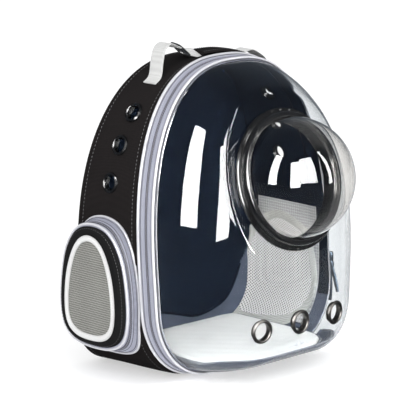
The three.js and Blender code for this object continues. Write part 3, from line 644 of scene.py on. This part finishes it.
# Clear blister and its lining
front_eyes = [node_centre(f"front_eyelet_{i}") for i in (1, 2, 3)]
out_r, in_r = shell_rings(0.0), shell_rings(1.6)
n_t, n_p = out_r.shape[:2]
normals = unit(np.cross(np.roll(out_r, -1, 1) - np.roll(out_r, 1, 1), np.gradient(out_r, axis=0)))
normals *= np.sign((normals * (out_r - (0, 40, 150))).sum(-1, keepdims=True))
points = np.vstack([out_r.reshape(-1, 3), in_r.reshape(-1, 3)])
kept, which = [], []
for base in (0, n_t * n_p):
    quads = np.array(grid_faces(n_t, n_p, False, True, base))
    middle = points[quads].mean(1)
    away = middle - RING_C
    along = away @ RING_N
    off = np.linalg.norm(away - along[:, None] * RING_N, axis=1)
    cut = (off < RING_HOLE) & (along > -40)
    for eye in front_eyes:
        cut |= np.linalg.norm(middle - eye, axis=1) < FRONT_CUT
    kept += quads[~cut].tolist()
    which += [1 if base else 0] * int((~cut).sum())
kept += joining_faces(0, n_t * n_p, n_p)
which += [0] * n_p
for base in (0, n_t * n_p):
    kept.append(tuple(base + (n_t - 1) * n_p + j for j in range(n_p)))
    which.append(1 if base else 0)
add_mesh("blister_shell", points, kept, [SHELL, SHELL_INSIDE], "clear_plastic", ["clear_blister"], which, 60)

lining = np.vstack([shell_rings(2.05, 70, 300), shell_rings(3.2, 70, 300)])
faces = grid_faces(70, 300, False, True) + grid_faces(70, 300, False, True, 70 * 300)
b = bmesh.new()
verts = [b.verts.new(p) for p in lining.reshape(-1, 3)]
for f in faces:
    b.faces.new([verts[i] for i in f])
for co, no in (((0, 0, LINING_TOP), (0, 0, 1)), ((0, -27, 0), (0, 1, 0)),
               ((LINING_BEND, 0, LINING_TOP), (0.5, 0, 0.87)),
               ((-LINING_BEND, 0, LINING_TOP), (-0.5, 0, 0.87))):
    everything = b.verts[:] + b.edges[:] + b.faces[:]
    bmesh.ops.bisect_plane(b, geom=everything, plane_co=co, plane_no=no, clear_outer=True)
b.verts.index_update()
add_mesh("front_lining", [list(p.co) for p in b.verts], [[p.index for p in f.verts] for f in b.faces], SLATE,
         "slate_cloth", ["blister_liner"])
b.free()
hem = []
for ring in shell_rings(3.4, 70, 900).transpose(1, 0, 2):
    fall = np.maximum(0, LINING_FALL * (np.abs(ring[:, 0]) - LINING_BEND))
    above = ring[:, 2] - LINING_TOP + fall
    for i in np.where(above[:-1] * above[1:] <= 0)[0][:1]:
        p = ring[i] + (ring[i + 1] - ring[i]) * above[i] / (above[i] - above[i + 1] + 1e-9)
        if p[1] < -27:
            hem.append(p)
hem = np.array(sorted(hem, key=lambda p: math.atan2(p[0], -(p[1] - 20))))
hem = spline(resample(hem, 40, False), 160)
sweep("front_lining_hem", hem, np.broadcast_to([0, 0, 1.0], hem.shape), round_profile(1.3, 8), GREY_BIND,
      "slate_cloth", closed=False)

# Dome and its ring
ring_profile = [
    (75.6, -10), (83, -10), (83, -7.6), (79.4, -7.6), (79.4, 0), (91.2, 0), (92, 0.8), (92, 3.6), (91, 4.5),
    (90.6, 4.5), (90.2, 3.9), (88.6, 3.9), (88.2, 5.2), (86.8, 5.4), (86.5, 6.2), (86.1, 12.2), (85.4, 13.6),
    (84.4, 14.1), (84.0, 15), (80.2, 15), (79.5, 14.4), (79.5, 10.1), (76.4, 9.9), (75.6, 9),
]
turned("bubble_ring", ring_profile, RING_C, RING_N, GLOSS, "black_gloss", ["dome_ring"], 200, angle=35)


def ring_blocks(name, count, radius, height, size, mats, slot):
    e1 = np.array([1.0, 0, 0])
    e2 = np.cross(RING_N, e1)
    pts, faces = [], []
    for i in range(count):
        a = 2 * PI * (i + 0.5) / count
        out = e1 * math.cos(a) + e2 * math.sin(a)
        along = -e1 * math.sin(a) + e2 * math.cos(a)
        mid = RING_C + out * radius + RING_N * height
        k = len(pts)
        for u, w in CORNERS:
            for h, f in ((-0.5, 1.0), (0.5, 0.75)):
                flat = out * u * f * size[0] / 2 + along * w * f * size[1] / 2
                pts.append(mid + flat + RING_N * h * size[2])
        faces += [(k + 1, k + 3, k + 5, k + 7), (k, k + 6, k + 4, k + 2)]
        for j in range(4):
            here, there = k + 2 * j, k + 2 * ((j + 1) % 4)
            faces.append((here, there, there + 1, here + 1))
    return add_mesh(name, pts, faces, mats, slot, angle=30)


ring_blocks("ring_lugs", 36, 89.4, 4.4, (1.8, 4.4, 1.6), GLOSS, "black_gloss")
ring_blocks("ring_ribs", 100, 75.6, -0.4, (1.2, 1.6, 17), GLOSS, "black_gloss")

dome_r, dome_t, seat_n = 78.8, 1.6, 10.0
arc = np.linspace(0.004, PI / 2 - 0.004, 48)
outer_line = [(dome_r * math.cos(a), seat_n + dome_r * math.sin(a)) for a in arc]
inner_line = [((dome_r - dome_t) * math.cos(a), seat_n + (dome_r - dome_t) * math.sin(a)) for a in arc[::-1]]
turned("bubble_dome", outer_line + inner_line, RING_C, RING_N, [DOME, DOME_INSIDE], "clear_plastic",
       ["clear_dome"], 128, which=([0] * 48 + [1] * 48) * 128, angle=80)


# Eyelets
def eyelet_profile(radius, hole, wall, lift):
    top = [(hole, lift), (hole + 0.3, lift + 1.4), (hole + 1.1, lift + 2.3), (hole + 1.9, lift + 2.5),
           (radius - 1.5, lift + 2.0), (radius - 0.4, lift + 1.2), (radius, lift)]
    back = [(hole + 1.0, lift), (hole + 1.0, -wall - 0.8), (radius - 2.6, -wall - 0.8),
            (radius - 2.6, -wall - 2.0), (hole + 0.4, -wall - 2.2), (hole, -wall - 1.6)]
    return top + back


for i, eye in enumerate(front_eyes):
    apart = np.linalg.norm(out_r.reshape(-1, 3) - eye, axis=1)
    around = apart < 17
    normal = unit(normals.reshape(-1, 3)[around].mean(0))
    seat = out_r.reshape(-1, 3)[around].mean(0)
    seat = eye + normal * ((seat - eye) @ normal + 0.5)
    turned(f"front_grommet_{i + 1}", eyelet_profile(16, 11.3, 3.4, 0.6), seat, normal, GUNMETAL, "gunmetal",
           [f"front_eyelet_{i + 1}"], 64, angle=35)
for k, eye in enumerate(side_eyes):
    i, s = k // 2 + 1, ("left", "right")[k % 2]
    sign = -1 if s == "left" else 1
    x = float(gusset_x(eye[1], eye[2])) * sign
    normal = side_normal(x, eye[2])
    seat = eye + normal * ((np.array([x, eye[1], eye[2]]) - eye) @ normal)
    turned(f"side_grommet_{i}_{s}", eyelet_profile(13.4, 9.4, 4.0, 0.8), seat, normal, GLOSS, "black_gloss",
           [f"side_eyelet_{i}_{s}"], 56, angle=35)


# Side windows
def window(s):
    sign = -1 if s == "left" else 1

    def at(line, x):
        return np.stack([np.broadcast_to(x, line.shape[:1]) * sign, line[:, 0], line[:, 1]], 1)

    base, face = base_line(0, WINDOW_STEPS), face_line(-1, WINDOW_STEPS)
    foot_x = gusset_x(base[:, 0], base[:, 1]) - 2.0
    top_x = np.full(len(face), FACE_X - 1.4)

    def wall_ring(f, lift):
        line = base * (1 - f) + face * f
        line = line + unit(line - WINDOW_MIDDLE) * lift
        return at(line, foot_x * (1 - f) + top_x * f)

    strips = [(0.0, -0.2), (0.12, 0.5), (0.4, 0.9), (0.62, 0.8), (0.66, 0.2), (0.76, 0.2), (0.80, 0.8),
              (0.93, 0.6), (1.0, -0.6)]
    rings = [wall_ring(f, l) for f, l in strips] + [wall_ring(f, l - 2.4) for f, l in strips[::-1]]
    which = []
    for i in range(len(rings)):
        which += [1 if 3 <= i <= 5 else 0] * WINDOW_STEPS
    torus_of(f"window_wall_{s}", np.array(rings), [TAPE, TAPE_DARK], "silver_tape", [f"window_zip_wall_{s}"],
             which=which, angle=60)
    for label, f, lift, r, m in (("foot", 0.1, 1.4, 1.7, PIPING), ("rim", 0.965, 0.9, 1.8, PIPING),
                                 ("mid", 0.5, 0.9, 0.5, SEAM), ("low", 0.24, 0.9, 0.5, SEAM)):
        line = wall_ring(f, lift)
        out = unit(line - (FACE_X * sign * 0.6, *WINDOW_MIDDLE))
        out[:, 0] = 0
        sweep(f"window_piping_{label}_{s}", line, unit(out), round_profile(r, 8), m,
              "white_piping" if m == PIPING else "silver_tape")
    line = wall_ring(0.71, 0.4)
    centre_out = lambda q: unit((q - (0, *WINDOW_MIDDLE)) * (0, 1, 1))
    coil(f"window_teeth_{s}", line, centre_out, COIL, "zip_coil", 1.5, (1.0, 1.8, 1.1))
    # black cloth face between the piping and the pale binding, crowned like a thin pad
    outer_f, inner_f = face_line(-2.6, WINDOW_STEPS), open_line(8.2, WINDOW_STEPS)
    steps = np.linspace(0, 1, 9)
    front = [at(outer_f * (1 - f) + inner_f * f, FACE_X + 0.2 + 1.5 * math.sin(PI * min(1, f * 1.15)) ** 0.7
                if 0 < f < 0.87 else FACE_X + 0.2) for f in steps]
    back = [at(outer_f * (1 - f) + inner_f * f, FACE_X - 1.0) for f in steps[::-1]]
    torus_of(f"window_face_{s}", np.array(front + back), FRAME, "black_cloth", [f"window_frame_{s}"],
             angle=60)
    edge = at(outer_f * 0.78 + inner_f * 0.22, FACE_X + 1.75)
    stitch_line(f"window_stitches_{s}", edge, np.broadcast_to([sign * 1.0, 0, 0], edge.shape), THREAD_DARK,
                "black_cloth", 2.6, 4.2, 0.32, closed=True)
    # pale woven binding round the opening
    rings = []
    for a in np.linspace(0, 2 * PI, 16, endpoint=False):
        share = 0.5 + 0.5 * math.cos(a)
        rings.append(at(open_line(0.2 + 8.2 * share, WINDOW_STEPS), FACE_X + 0.6 + 2.0 * math.sin(a)))
    torus_of(f"window_trim_{s}", np.array(rings), PALE, "pale_binding", [f"window_binding_{s}"], angle=80)
    edge = at(open_line(6.6, WINDOW_STEPS), FACE_X + 2.35)
    stitch_line(f"window_trim_stitches_{s}", edge, np.broadcast_to([sign * 1.0, 0, 0], edge.shape), THREAD,
                "pale_binding", 2.2, 3.6, 0.3, closed=True)
    # net: cells with a slot each, in rows
    cells, faces = [], []
    limit = open_line(2.5, 160)
    py, pz = NET_CELL
    for row, z in enumerate(np.arange(52, 190, pz)):
        for y in np.arange(44, 146, py) + (row % 2) * py / 2:
            if not inside([(y, z)], limit)[0]:
                continue
            for x0, turn in ((FACE_X + 0.25, 1), (FACE_X - 0.25, -1)):
                k = len(cells)
                swell = 0.5 * math.sin(z / 9.0) * math.cos(y / 13.0)
                for grow, lift in ((0.5, 0), (0.36, 0.2 * turn)):
                    x = sign * (x0 + swell * 0.4 + lift)
                    cells += [(x, y + w * py * grow, z + h * pz * grow) for w, h in CORNERS]
                faces += block_sides(k)
    add_mesh(f"window_net_{s}", cells, faces, MESH, "mesh", [f"window_mesh_{s}"], flip_check=False, angle=180)
    loops = [at(open_line(grow, 160), FACE_X - 1.5 - lift)
             for grow, lift in ((3.0, 0), (-16, 0), (-16, 0.5), (3.0, 0.5))]
    faces = grid_faces(4, 160, False, True) + [tuple(k * 160 + j for j in range(160)) for k in (1, 2)]
    add_mesh(f"window_net_shade_{s}", np.array(loops), faces, DARK, "mesh", angle=60)
    # inside of the bag: a woven panel over the lower side with a net in it
    side = lambda line, lift: at(line, gusset_x(line[:, 0], line[:, 1], CLOTH) - lift)
    net_line = chaikin(NET_INSIDE, 2)
    step = 2.4
    ys, zs = np.arange(13, 150, step), np.arange(25, 217, step)
    flat = np.array([(y, z) for z in zs for y in ys])
    verts = side(flat, 1.0)
    quads = np.array(grid_faces(len(zs), len(ys)))
    middle = flat[quads].mean(1)
    free = ~inside(middle, net_line) & (middle[:, 0] < back_y(middle[:, 1]) - 19)
    add_mesh(f"side_panel_{s}", verts, quads[free], [WOVEN, NAVY], "grey_binding",
             which=(middle[free][:, 1] > 184).astype(int), flip_check=False, angle=80)
    centre = np.array([90.0, 88.0])
    away = unit(net_line - centre)
    loops = [side(net_line + away * grow, lift) for grow, lift in
             ((-2, 1.4), (0, 2.0), (5, 2.2), (9, 2.0), (11, 1.3), (5, 0.6))]
    torus_of(f"side_net_edge_{s}", np.array(loops), WOVEN_EDGE, "grey_binding", angle=70)
    cells, faces = [], []
    shade = inside(middle, net_line)
    add_mesh(f"side_net_shade_{s}", side(flat, 0.6), quads[shade], DARK, "mesh", flip_check=False, angle=80)
    py, pz = SIDE_CELL
    for row, z in enumerate(np.arange(16, 160, pz * 0.5)):
        for y in np.arange(20, 160, py) + (row % 2) * py / 2:
            if inside([(y, z)], net_line)[0]:
                k = len(cells)
                for grow in (1.0, 0.5):
                    corner = np.array([(y - py / 2 * grow, z), (y, z - pz / 2 * grow), (y + py / 2 * grow, z),
                                       (y, z + pz / 2 * grow)])
                    cells += side(corner, 1.2).tolist()
                faces += block_sides(k)
    add_mesh(f"side_net_{s}", cells, faces, NET, "mesh", flip_check=False, angle=180)


window("left")
window("right")


# Back panel
def back_sheet(inset, push, share):
    ring = gusset_ring(ROWS[-1], CLOTH + GAP + inset, 0, 200)
    ring[:, 0] *= share
    ring[:, 2] = 190 + (ring[:, 2] - 190) * share
    ring[:, 1] = back_y(ring[:, 2]) + push
    return ring


shares = np.concatenate([np.linspace(1, 0.9, 6), np.linspace(0.885, 0.02, 64)])
outer_b = np.array([back_sheet(0, 1.0, s) for s in shares])
x, z = outer_b[..., 0], outer_b[..., 2]
channel = np.exp(-((np.abs(x) - 22) / 3.0) ** 2) + np.exp(-((z - 120) / 3.0) ** 2) * (np.abs(x) > 22)
channel += np.exp(-((z - 235) / 3.0) ** 2) * (np.abs(x) > 22)
outer_b[..., 1] -= 3.2 * np.clip(channel, 0, 1) + 2.5 * (1 - smoothstep(1 - shares, 0.0, 0.06))[:, None]
inner_b = np.array([back_sheet(0, -15.6, s) for s in shares])
inner_b[..., 1] += 0.8 * ripple(inner_b, 30, 1.0)
points = np.vstack([outer_b.reshape(-1, 3), inner_b.reshape(-1, 3)])
n_s, n_q = outer_b.shape[:2]
faces = grid_faces(n_s, n_q, False, True) + grid_faces(n_s, n_q, False, True, n_s * n_q)
# The lower edge of the navy cloth on the inner back; below it the cloth is slate
LINING_EDGE = [
    (-175, 125), (-150, 110), (-130, 86), (-110, 64), (-60, 54), (-25, 47.6), (7, 40.7), (45, 30),
    (74, 32), (102, 41), (115, 52), (125, 68), (134, 90), (150, 110), (175, 125),
]
quads = np.array(grid_faces(n_s, n_q, False, True, n_s * n_q))
middle = points[quads].mean(1)
navy = inside(middle[:, [0, 2]], LINING_EDGE) | (middle[:, 2] > 125)
which = [0] * ((n_s - 1) * n_q) + np.where(navy, 1, 2).tolist()
faces += [tuple((n_s - 1) * n_q + j for j in range(n_q)), tuple((2 * n_s - 1) * n_q + j for j in range(n_q))]
which += [0, 1]
faces += joining_faces(0, n_s * n_q, n_q)
which += [0] * n_q
back = add_mesh("back_padding", points, faces, [AIRMESH, NAVY, SLATE], "black_cloth", ["back_panel"], which)
seam = resample(spline([(x, 0, z) for x, z in LINING_EDGE[2:-2]], 160), 160, False)
seam[:, 1] = back_y(seam[:, 2]) - 15.9
out = np.broadcast_to([0, -1.0, 0], seam.shape)
sweep("back_lining_seam", seam, out, round_profile(1.7, 8), NAVY, "navy_lining", closed=False)
edge = back_sheet(1.5, 1.2, 1.0)
out = np.broadcast_to([0, 1.0, 0], edge.shape)
sweep("back_piping", edge, out, round_profile(1.7, 8), BLACK, "black_cloth")


# Floor
def soft_copy(name, source, voxel, smooth_steps, lift):
    """A remeshed, smoothed copy of a solid; lift(points) gives each point's new place in mm."""
    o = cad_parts[source]
    data = o.data.copy()
    made = bpy.data.objects.new(name, data)
    bpy.context.scene.collection.objects.link(made)
    mod = made.modifiers.new("r", "REMESH")
    mod.mode, mod.voxel_size, mod.use_smooth_shade = "VOXEL", voxel * 0.001, True
    if smooth_steps:
        mod = made.modifiers.new("s", "SMOOTH")
        mod.factor, mod.iterations = 0.5, smooth_steps
    deps = bpy.context.evaluated_depsgraph_get()
    final = bpy.data.meshes.new_from_object(made.evaluated_get(deps))
    points = np.array([v.co for v in final.vertices]) * 1000 - (0, ORIGIN_Y, 0)
    faces = [tuple(p.vertices) for p in final.polygons]
    bpy.data.objects.remove(made)
    return lift(points), faces


def puff_pad(p):
    edge = np.minimum.reduce([110 - np.abs(p[:, 0]), 128 - p[:, 1], p[:, 1] + 84])
    crown = smoothstep(edge, 0, 30)
    upper = smoothstep(p[:, 2], 24, 28)
    p[:, 2] += upper * (2.6 * crown + 0.5 * ripple(p, 14, 2.0) * crown)
    return p


points, faces = soft_copy("pad_copy", "floor_pad", 2.6, 4, puff_pad)
pad = add_mesh("floor_cushion", points, faces, FLEECE, "pad_fleece", ["floor_pad"], angle=80)
points, faces = soft_copy("bind_copy", "floor_pad_binding", 1.3, 6, lambda p: p)
add_mesh("floor_cushion_binding", points, faces, GREY_BIND, "grey_binding", ["floor_pad_binding"], angle=80)
points, faces = soft_copy("base_copy", "base_block", 3.0, 3, lambda p: p)
rim = [int(abs(points[list(f), 0].mean()) > 113) for f in faces]
add_mesh("base_lining", points, faces, [SLATE, WOVEN_EDGE], "slate_cloth", ["base_block"], rim, 60)


# Handle
def crown_z(x):
    a = math.acos(min(1, abs(x) / (HALF_W + 2)) ** (POWER / 2))
    return SPRING_Z + (ARCH_H - 0.5 - SPRING_Z) * math.sin(a) ** (2 / POWER)


def handle_path(points, n):
    """(x, z) or (x, lift, True) for a point that lies on the crown"""
    full = [(p[0], 73.5, crown_z(p[0]) + p[1] if len(p) == 3 else p[1]) for p in points]
    return spline(full, n)


def band_piece(name, path, profile, mats, slot, replaces, across=(0, 1.0, 0)):
    along = tangents(path, False)
    out = unit(np.cross(np.broadcast_to(across, path.shape), along))
    out *= np.sign(out[:, 2:].mean() + 1e-9)
    return sweep(name, path, out, profile, mats, slot, replaces, closed=False, angle=70), out


LEFT = [(-98, 3.2, True), (-88, 3.4, True), (-84.5, 403), (-80, 418), (-70, 425), (-57, 420.5), (-51, 418.2)]
MIDDLE = [(-36, 411.8), (-27.5, 409.4), (-22, 408.4), (-14.6, 408)]
GRIP = [(-14, 3.4, True), (0, 3.5, True), (22, 3.6, True), (44, 3.8, True), (62, 4, True)]
RIGHT = [(63, 5.2, True), (78, 403), (94, 396), (106, 386), (111, 5, True), (118, 4.4, True)]
WEB = slab_profile(24, 2.0, 0, 14)


def edge_rows(name, path, out, half, lift, *stitch):
    """Two rows of stitches, one along each edge of a band."""
    for label, side in (("a", -half), ("b", half)):
        stitch_line(f"{name}_{label}", path + (0, side, 0) + out * lift, out, *stitch)


path = handle_path(LEFT, 60)
_, out = band_piece("handle_web_left", path, WEB, WEBBING, "pale_webbing", ["handle_webbing_left"])
edge_rows("handle_left_stitches", path[4:-2], out[4:-2], 9.5, 1.05, THREAD, "pale_webbing", 2.4, 3.6, 0.28)
band_piece("handle_web_middle", handle_path(MIDDLE, 12), WEB, WEBBING, "pale_webbing",
           ["handle_webbing_middle"], (0, 0.92, 0.38))
path = handle_path(RIGHT, 60)
_, out = band_piece("handle_web_right", path, WEB, WEBBING, "pale_webbing", ["handle_webbing_right"])
edge_rows("handle_right_stitches", path[2:-4], out[2:-4], 9.5, 1.05, THREAD, "pale_webbing", 2.4, 3.6, 0.28)
path = handle_path(GRIP, 48)
grip, out = band_piece("handle_pad", path, slab_profile(32, 5.0, 0.6, 16, 3.2), BLACK, "black_cloth",
                       ["handle_grip"])
edge_rows("handle_pad_stitches", path, out, 13, 2.6, THREAD_DARK, "black_cloth", 2.6, 4.0, 0.3)


def frame_ring(name, centre, ahead, up, size, bars, mats, slot, replaces, width=3.2, thick=3.4):
    """Flat buckle: a rounded rectangular rim with cross bars at shares of its length."""
    centre, ahead, up = np.array(centre, float), unit(np.array(ahead, float)), unit(np.array(up, float))
    side = unit(np.cross(ahead, up))
    up = np.cross(side, ahead)
    a, b = size[0] / 2 - width / 2, size[1] / 2 - width / 2
    r = 3.0
    loop = []
    for u, w, start in ((1, 1, 0), (-1, 1, 90), (-1, -1, 180), (1, -1, 270)):
        cx, cy = u * (a - r), w * (b - r)
        for d in range(0, 91, 15):
            q = math.radians(start + d)
            loop.append(centre + side * (cx + r * math.cos(q)) + ahead * (cy + r * math.sin(q)))
    loop = resample(np.array(loop), 96)
    profile = [(thick / 2 * math.copysign(abs(math.cos(q)) ** 0.6, math.cos(q)),
                width / 2 * math.copysign(abs(math.sin(q)) ** 0.6, math.sin(q)))
               for q in np.linspace(0, 2 * PI, 12, endpoint=False)]
    sweep(name, loop, np.broadcast_to(up, loop.shape), profile, mats, slot, replaces, angle=50)
    for i, share in enumerate(bars):
        ends = [centre + side * k * a + ahead * share * b for k in (-1, 1)]
        line = resample(np.array(ends), 12, False)
        sweep(f"{name}_bar_{i + 1}", line, np.broadcast_to(up, line.shape),
              [(p * 0.8, q * 0.9) for p, q in profile], mats, slot, closed=False, angle=50)


frame_ring("handle_triglide", (-43.5, 72.5, 414.6), (0.945, 0, -0.326), (0.3, -0.42, 0.85), (30, 20), (0.0,),
           PLASTIC, "black_plastic", ["handle_glide"], 5.4, 3.6)


# Shoulder straps
STRAP = [(-40, 354, 3.9), (-44, 338, 4.6), (-53, 312, 10), (-66, 270, 17), (-78, 215, 19), (-82, 165, 16),
         (-84, 130, 13)]
TAIL = [(-84, 127, 13), (-90, 102, 11), (-99, 76, 6), (-107, 56, 0.4), (-112, 42, -0.6)]


def strap_side(s):
    sign = 1 if s == "left" else -1
    path = spline([(x * sign, float(back_y(z)) + 3 + off, z) for x, z, off in STRAP], 90)
    along = tangents(path, False)
    across = np.broadcast_to((1.0, -0.045, 0.22 * sign), path.shape)
    out = unit(np.cross(across, along))
    out *= np.sign(out[:, 1:2])
    ends = np.minimum(np.arange(90), np.arange(90)[::-1]) / 5.0
    pinch = 0.45 + 0.55 * smoothstep(ends, 0, 1)
    side = np.cross(along, unit(out - along * (out * along).sum(1, keepdims=True)))
    profile = slab_profile(59, 7.6, 0.7, 22, 6)
    rings = np.stack([path + out * (a * pinch[:, None]) + side * b for a, b in profile], 1)
    pad = shell_of(f"strap_pad_{s}", rings, AIRMESH, "black_cloth", [f"shoulder_strap_{s}"], angle=70)
    for k, label in ((-1, "a"), (1, "b")):
        edge = path + side * k * 29.4
        sweep(f"strap_binding_{label}_{s}", edge, out, round_profile(2.0, 8), BLACK_WEB, "black_webbing",
              closed=False)
        line = path[3:-3] + side[3:-3] * k * 24 + out[3:-3] * 3.9
        stitch_line(f"strap_stitches_{label}_{s}", line, out[3:-3], THREAD_DARK, "black_cloth", 3.0, 4.6,
                    0.34)
    path = spline([(x * sign, float(back_y(z)) + 3 + off, z) for x, z, off in TAIL], 70)
    along = tangents(path, False)
    out = unit(np.cross(np.broadcast_to((1.0, 0, 0.3 * sign), path.shape), along))
    out *= np.sign(out[:, 1:2])
    sweep(f"strap_web_{s}", path, out, slab_profile(25, 1.6, 0, 14), BLACK_WEB, "black_webbing",
          [f"strap_webbing_{s}"], closed=False, angle=70)
    lock = (-87.4 * sign, float(back_y(112)) + 18.3, 112)
    frame_ring(f"strap_lock_{s}", lock, (-0.3 * sign, -0.06, -1), (0, 1, 0), (36, 22),
               (-0.35, 0.35), PLASTIC, "black_plastic", [f"strap_adjuster_{s}"], 3.4, 3.2)


strap_side("left")
strap_side("right")


# Zip sliders
def tab(name, centre, down, length, widths, thick, mats, slot, replaces=()):
    down = unit(np.array(down, float))
    up = np.array([1.0, 0, 0])
    side = unit(np.cross(down, up))
    fs = np.linspace(0, 1, 15)
    rings = []
    for f in fs:
        w = np.interp(f, np.linspace(0, 1, len(widths)), widths) / 2
        mid = np.array(centre) + down * (f - 0.5) * length
        rings.append([mid + side * w * math.copysign(abs(math.cos(q)) ** 0.5, math.cos(q))
                      + up * thick / 2 * math.copysign(abs(math.sin(q)) ** 0.7, math.sin(q))
                      for q in np.linspace(0, 2 * PI, 16, endpoint=False)])
    return shell_of(name, rings, mats, slot, replaces, angle=50)


for i, (z, swing) in enumerate(((113, -0.34), (101, 0.04))):
    y = band_y(z) - BAND_DEPTH * 0.6
    x = HALF_W + 2.6
    tab(f"slider_body_{i + 1}", (x + 3.6, y - 5.0, z + 4), (0, -0.08, -1), 12, (6.5, 9, 9, 7, 5.5), 6.0,
        STEEL, "gunmetal", [f"zip_slider_{i + 1}"])
    down = unit(np.array([0, swing, -1.0]))
    mid = np.array([x + 4.6, y - 4.5, z - 1]) + down * 21
    tab(f"slider_pull_{i + 1}", mid, down, 48, (3.6, 5.4, 4.2, 4, 6.4, 7, 7, 6.6, 5), 3.0, STEEL, "gunmetal",
        [f"zip_pull_{i + 1}"])

# Every CAD node that still shows gets a finish
for name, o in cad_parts.items():
    if not o.hide_render:
        o.data.materials.clear()
        o.data.materials.append(BLACK)


# Room, lights, camera
bpy.ops.mesh.primitive_plane_add(size=40, location=(0, 8, -0.0005))
floor = bpy.context.active_object
floor.name = "floor"
floor_mat = material("floor_paper", "#c6c6c6", 0.9, grain=6.0, depth=0.02, vary=0.01)
floor_shader = floor_mat.node_tree.nodes["Principled BSDF"]
floor_shader.inputs["Emission Color"].default_value = (1, 1, 1, 1)
floor_shader.inputs["Emission Strength"].default_value = 0.5
floor.data.materials.append(floor_mat)
floor.visible_glossy = False

world = bpy.data.worlds.new("studio")
world.use_nodes = True
tree = world.node_tree
backdrop = tree.nodes["Background"]
backdrop.inputs["Color"].default_value = (1, 1, 1, 1)
room = node(tree, "Background", Color=(0.985, 0.99, 1.0, 1), Strength=1.08)
gloom = node(tree, "Background", Color=(0.75, 0.85, 1.0, 1), Strength=0.14)
rays = node(tree, "LightPath")
first, second = node(tree, "MixShader"), node(tree, "MixShader")
for source, target in (
    (rays.outputs["Is Diffuse Ray"], first.inputs[0]), (backdrop.outputs[0], first.inputs[1]),
    (room.outputs[0], first.inputs[2]), (rays.outputs["Is Glossy Ray"], second.inputs[0]),
    (first.outputs[0], second.inputs[1]), (gloom.outputs[0], second.inputs[2]),
    (second.outputs[0], tree.nodes["World Output"].inputs["Surface"]),
):
    tree.links.new(source, target)
bpy.context.scene.world = world
bpy.context.scene.view_settings.view_transform = "Standard"


def area(name, place, target, size, power, colour=(1, 1, 1)):
    light = bpy.data.lights.new(name, "AREA")
    light.shape = "RECTANGLE"
    light.size, light.size_y = size
    light.energy, light.color = power, colour
    o = bpy.data.objects.new(name, light)
    bpy.context.scene.collection.objects.link(o)
    o.location = place
    o.rotation_euler = (Vector(target) - Vector(place)).to_track_quat("-Z", "Y").to_euler()
    return o


def hide(light, diffuse=False, glossy=False):
    light.visible_diffuse, light.visible_glossy = not diffuse, not glossy
    light.visible_transmission = not glossy


def strip(name, azimuth, away, width, low, high, strength):
    """An upright softbox; azimuth in degrees from the front, strength in radiance-like units."""
    turn = math.radians(azimuth)
    place = (away * math.sin(turn), -away * math.cos(turn), (low + high) / 2)
    power = strength * width * (high - low) * PI
    return area(name, place, (0, 0, place[2]), (width, high - low), power)


for row in (("left_strip", -83, 2.2, 0.6, 0.2, 2.9, 34), ("middle_strip", -42.5, 3.6, 1.15, -0.1, 3.4, 30),
            ("front_strip", -18, 2.8, 1.5, 0.35, 3.2, 26), ("right_strip", 24, 2.8, 0.3, 0.1, 3.4, 26)):
    hide(strip(*row), diffuse=True)
hide(area("key", (-1.9, -1.4, 2.2), (0, 0, 0.2), (1.4, 1.4), 8), glossy=True)
hide(area("top", (-0.2, -0.2, 2.6), (0, 0, 0.2), (1.6, 1.6), 4), glossy=True)

cam = bpy.data.cameras.new("camera")
cam.lens, cam.sensor_width = 2325 / 416 * 36, 36
cam.clip_end = 50
camera = bpy.data.objects.new("camera", cam)
bpy.context.scene.collection.objects.link(camera)
camera.location = (-2.1125, -2.0750, 0.8468)
camera.rotation_euler = (Vector((0, 0.0621, 0.1995)) - camera.location).to_track_quat("-Z", "Y").to_euler()
bpy.context.scene.camera = camera
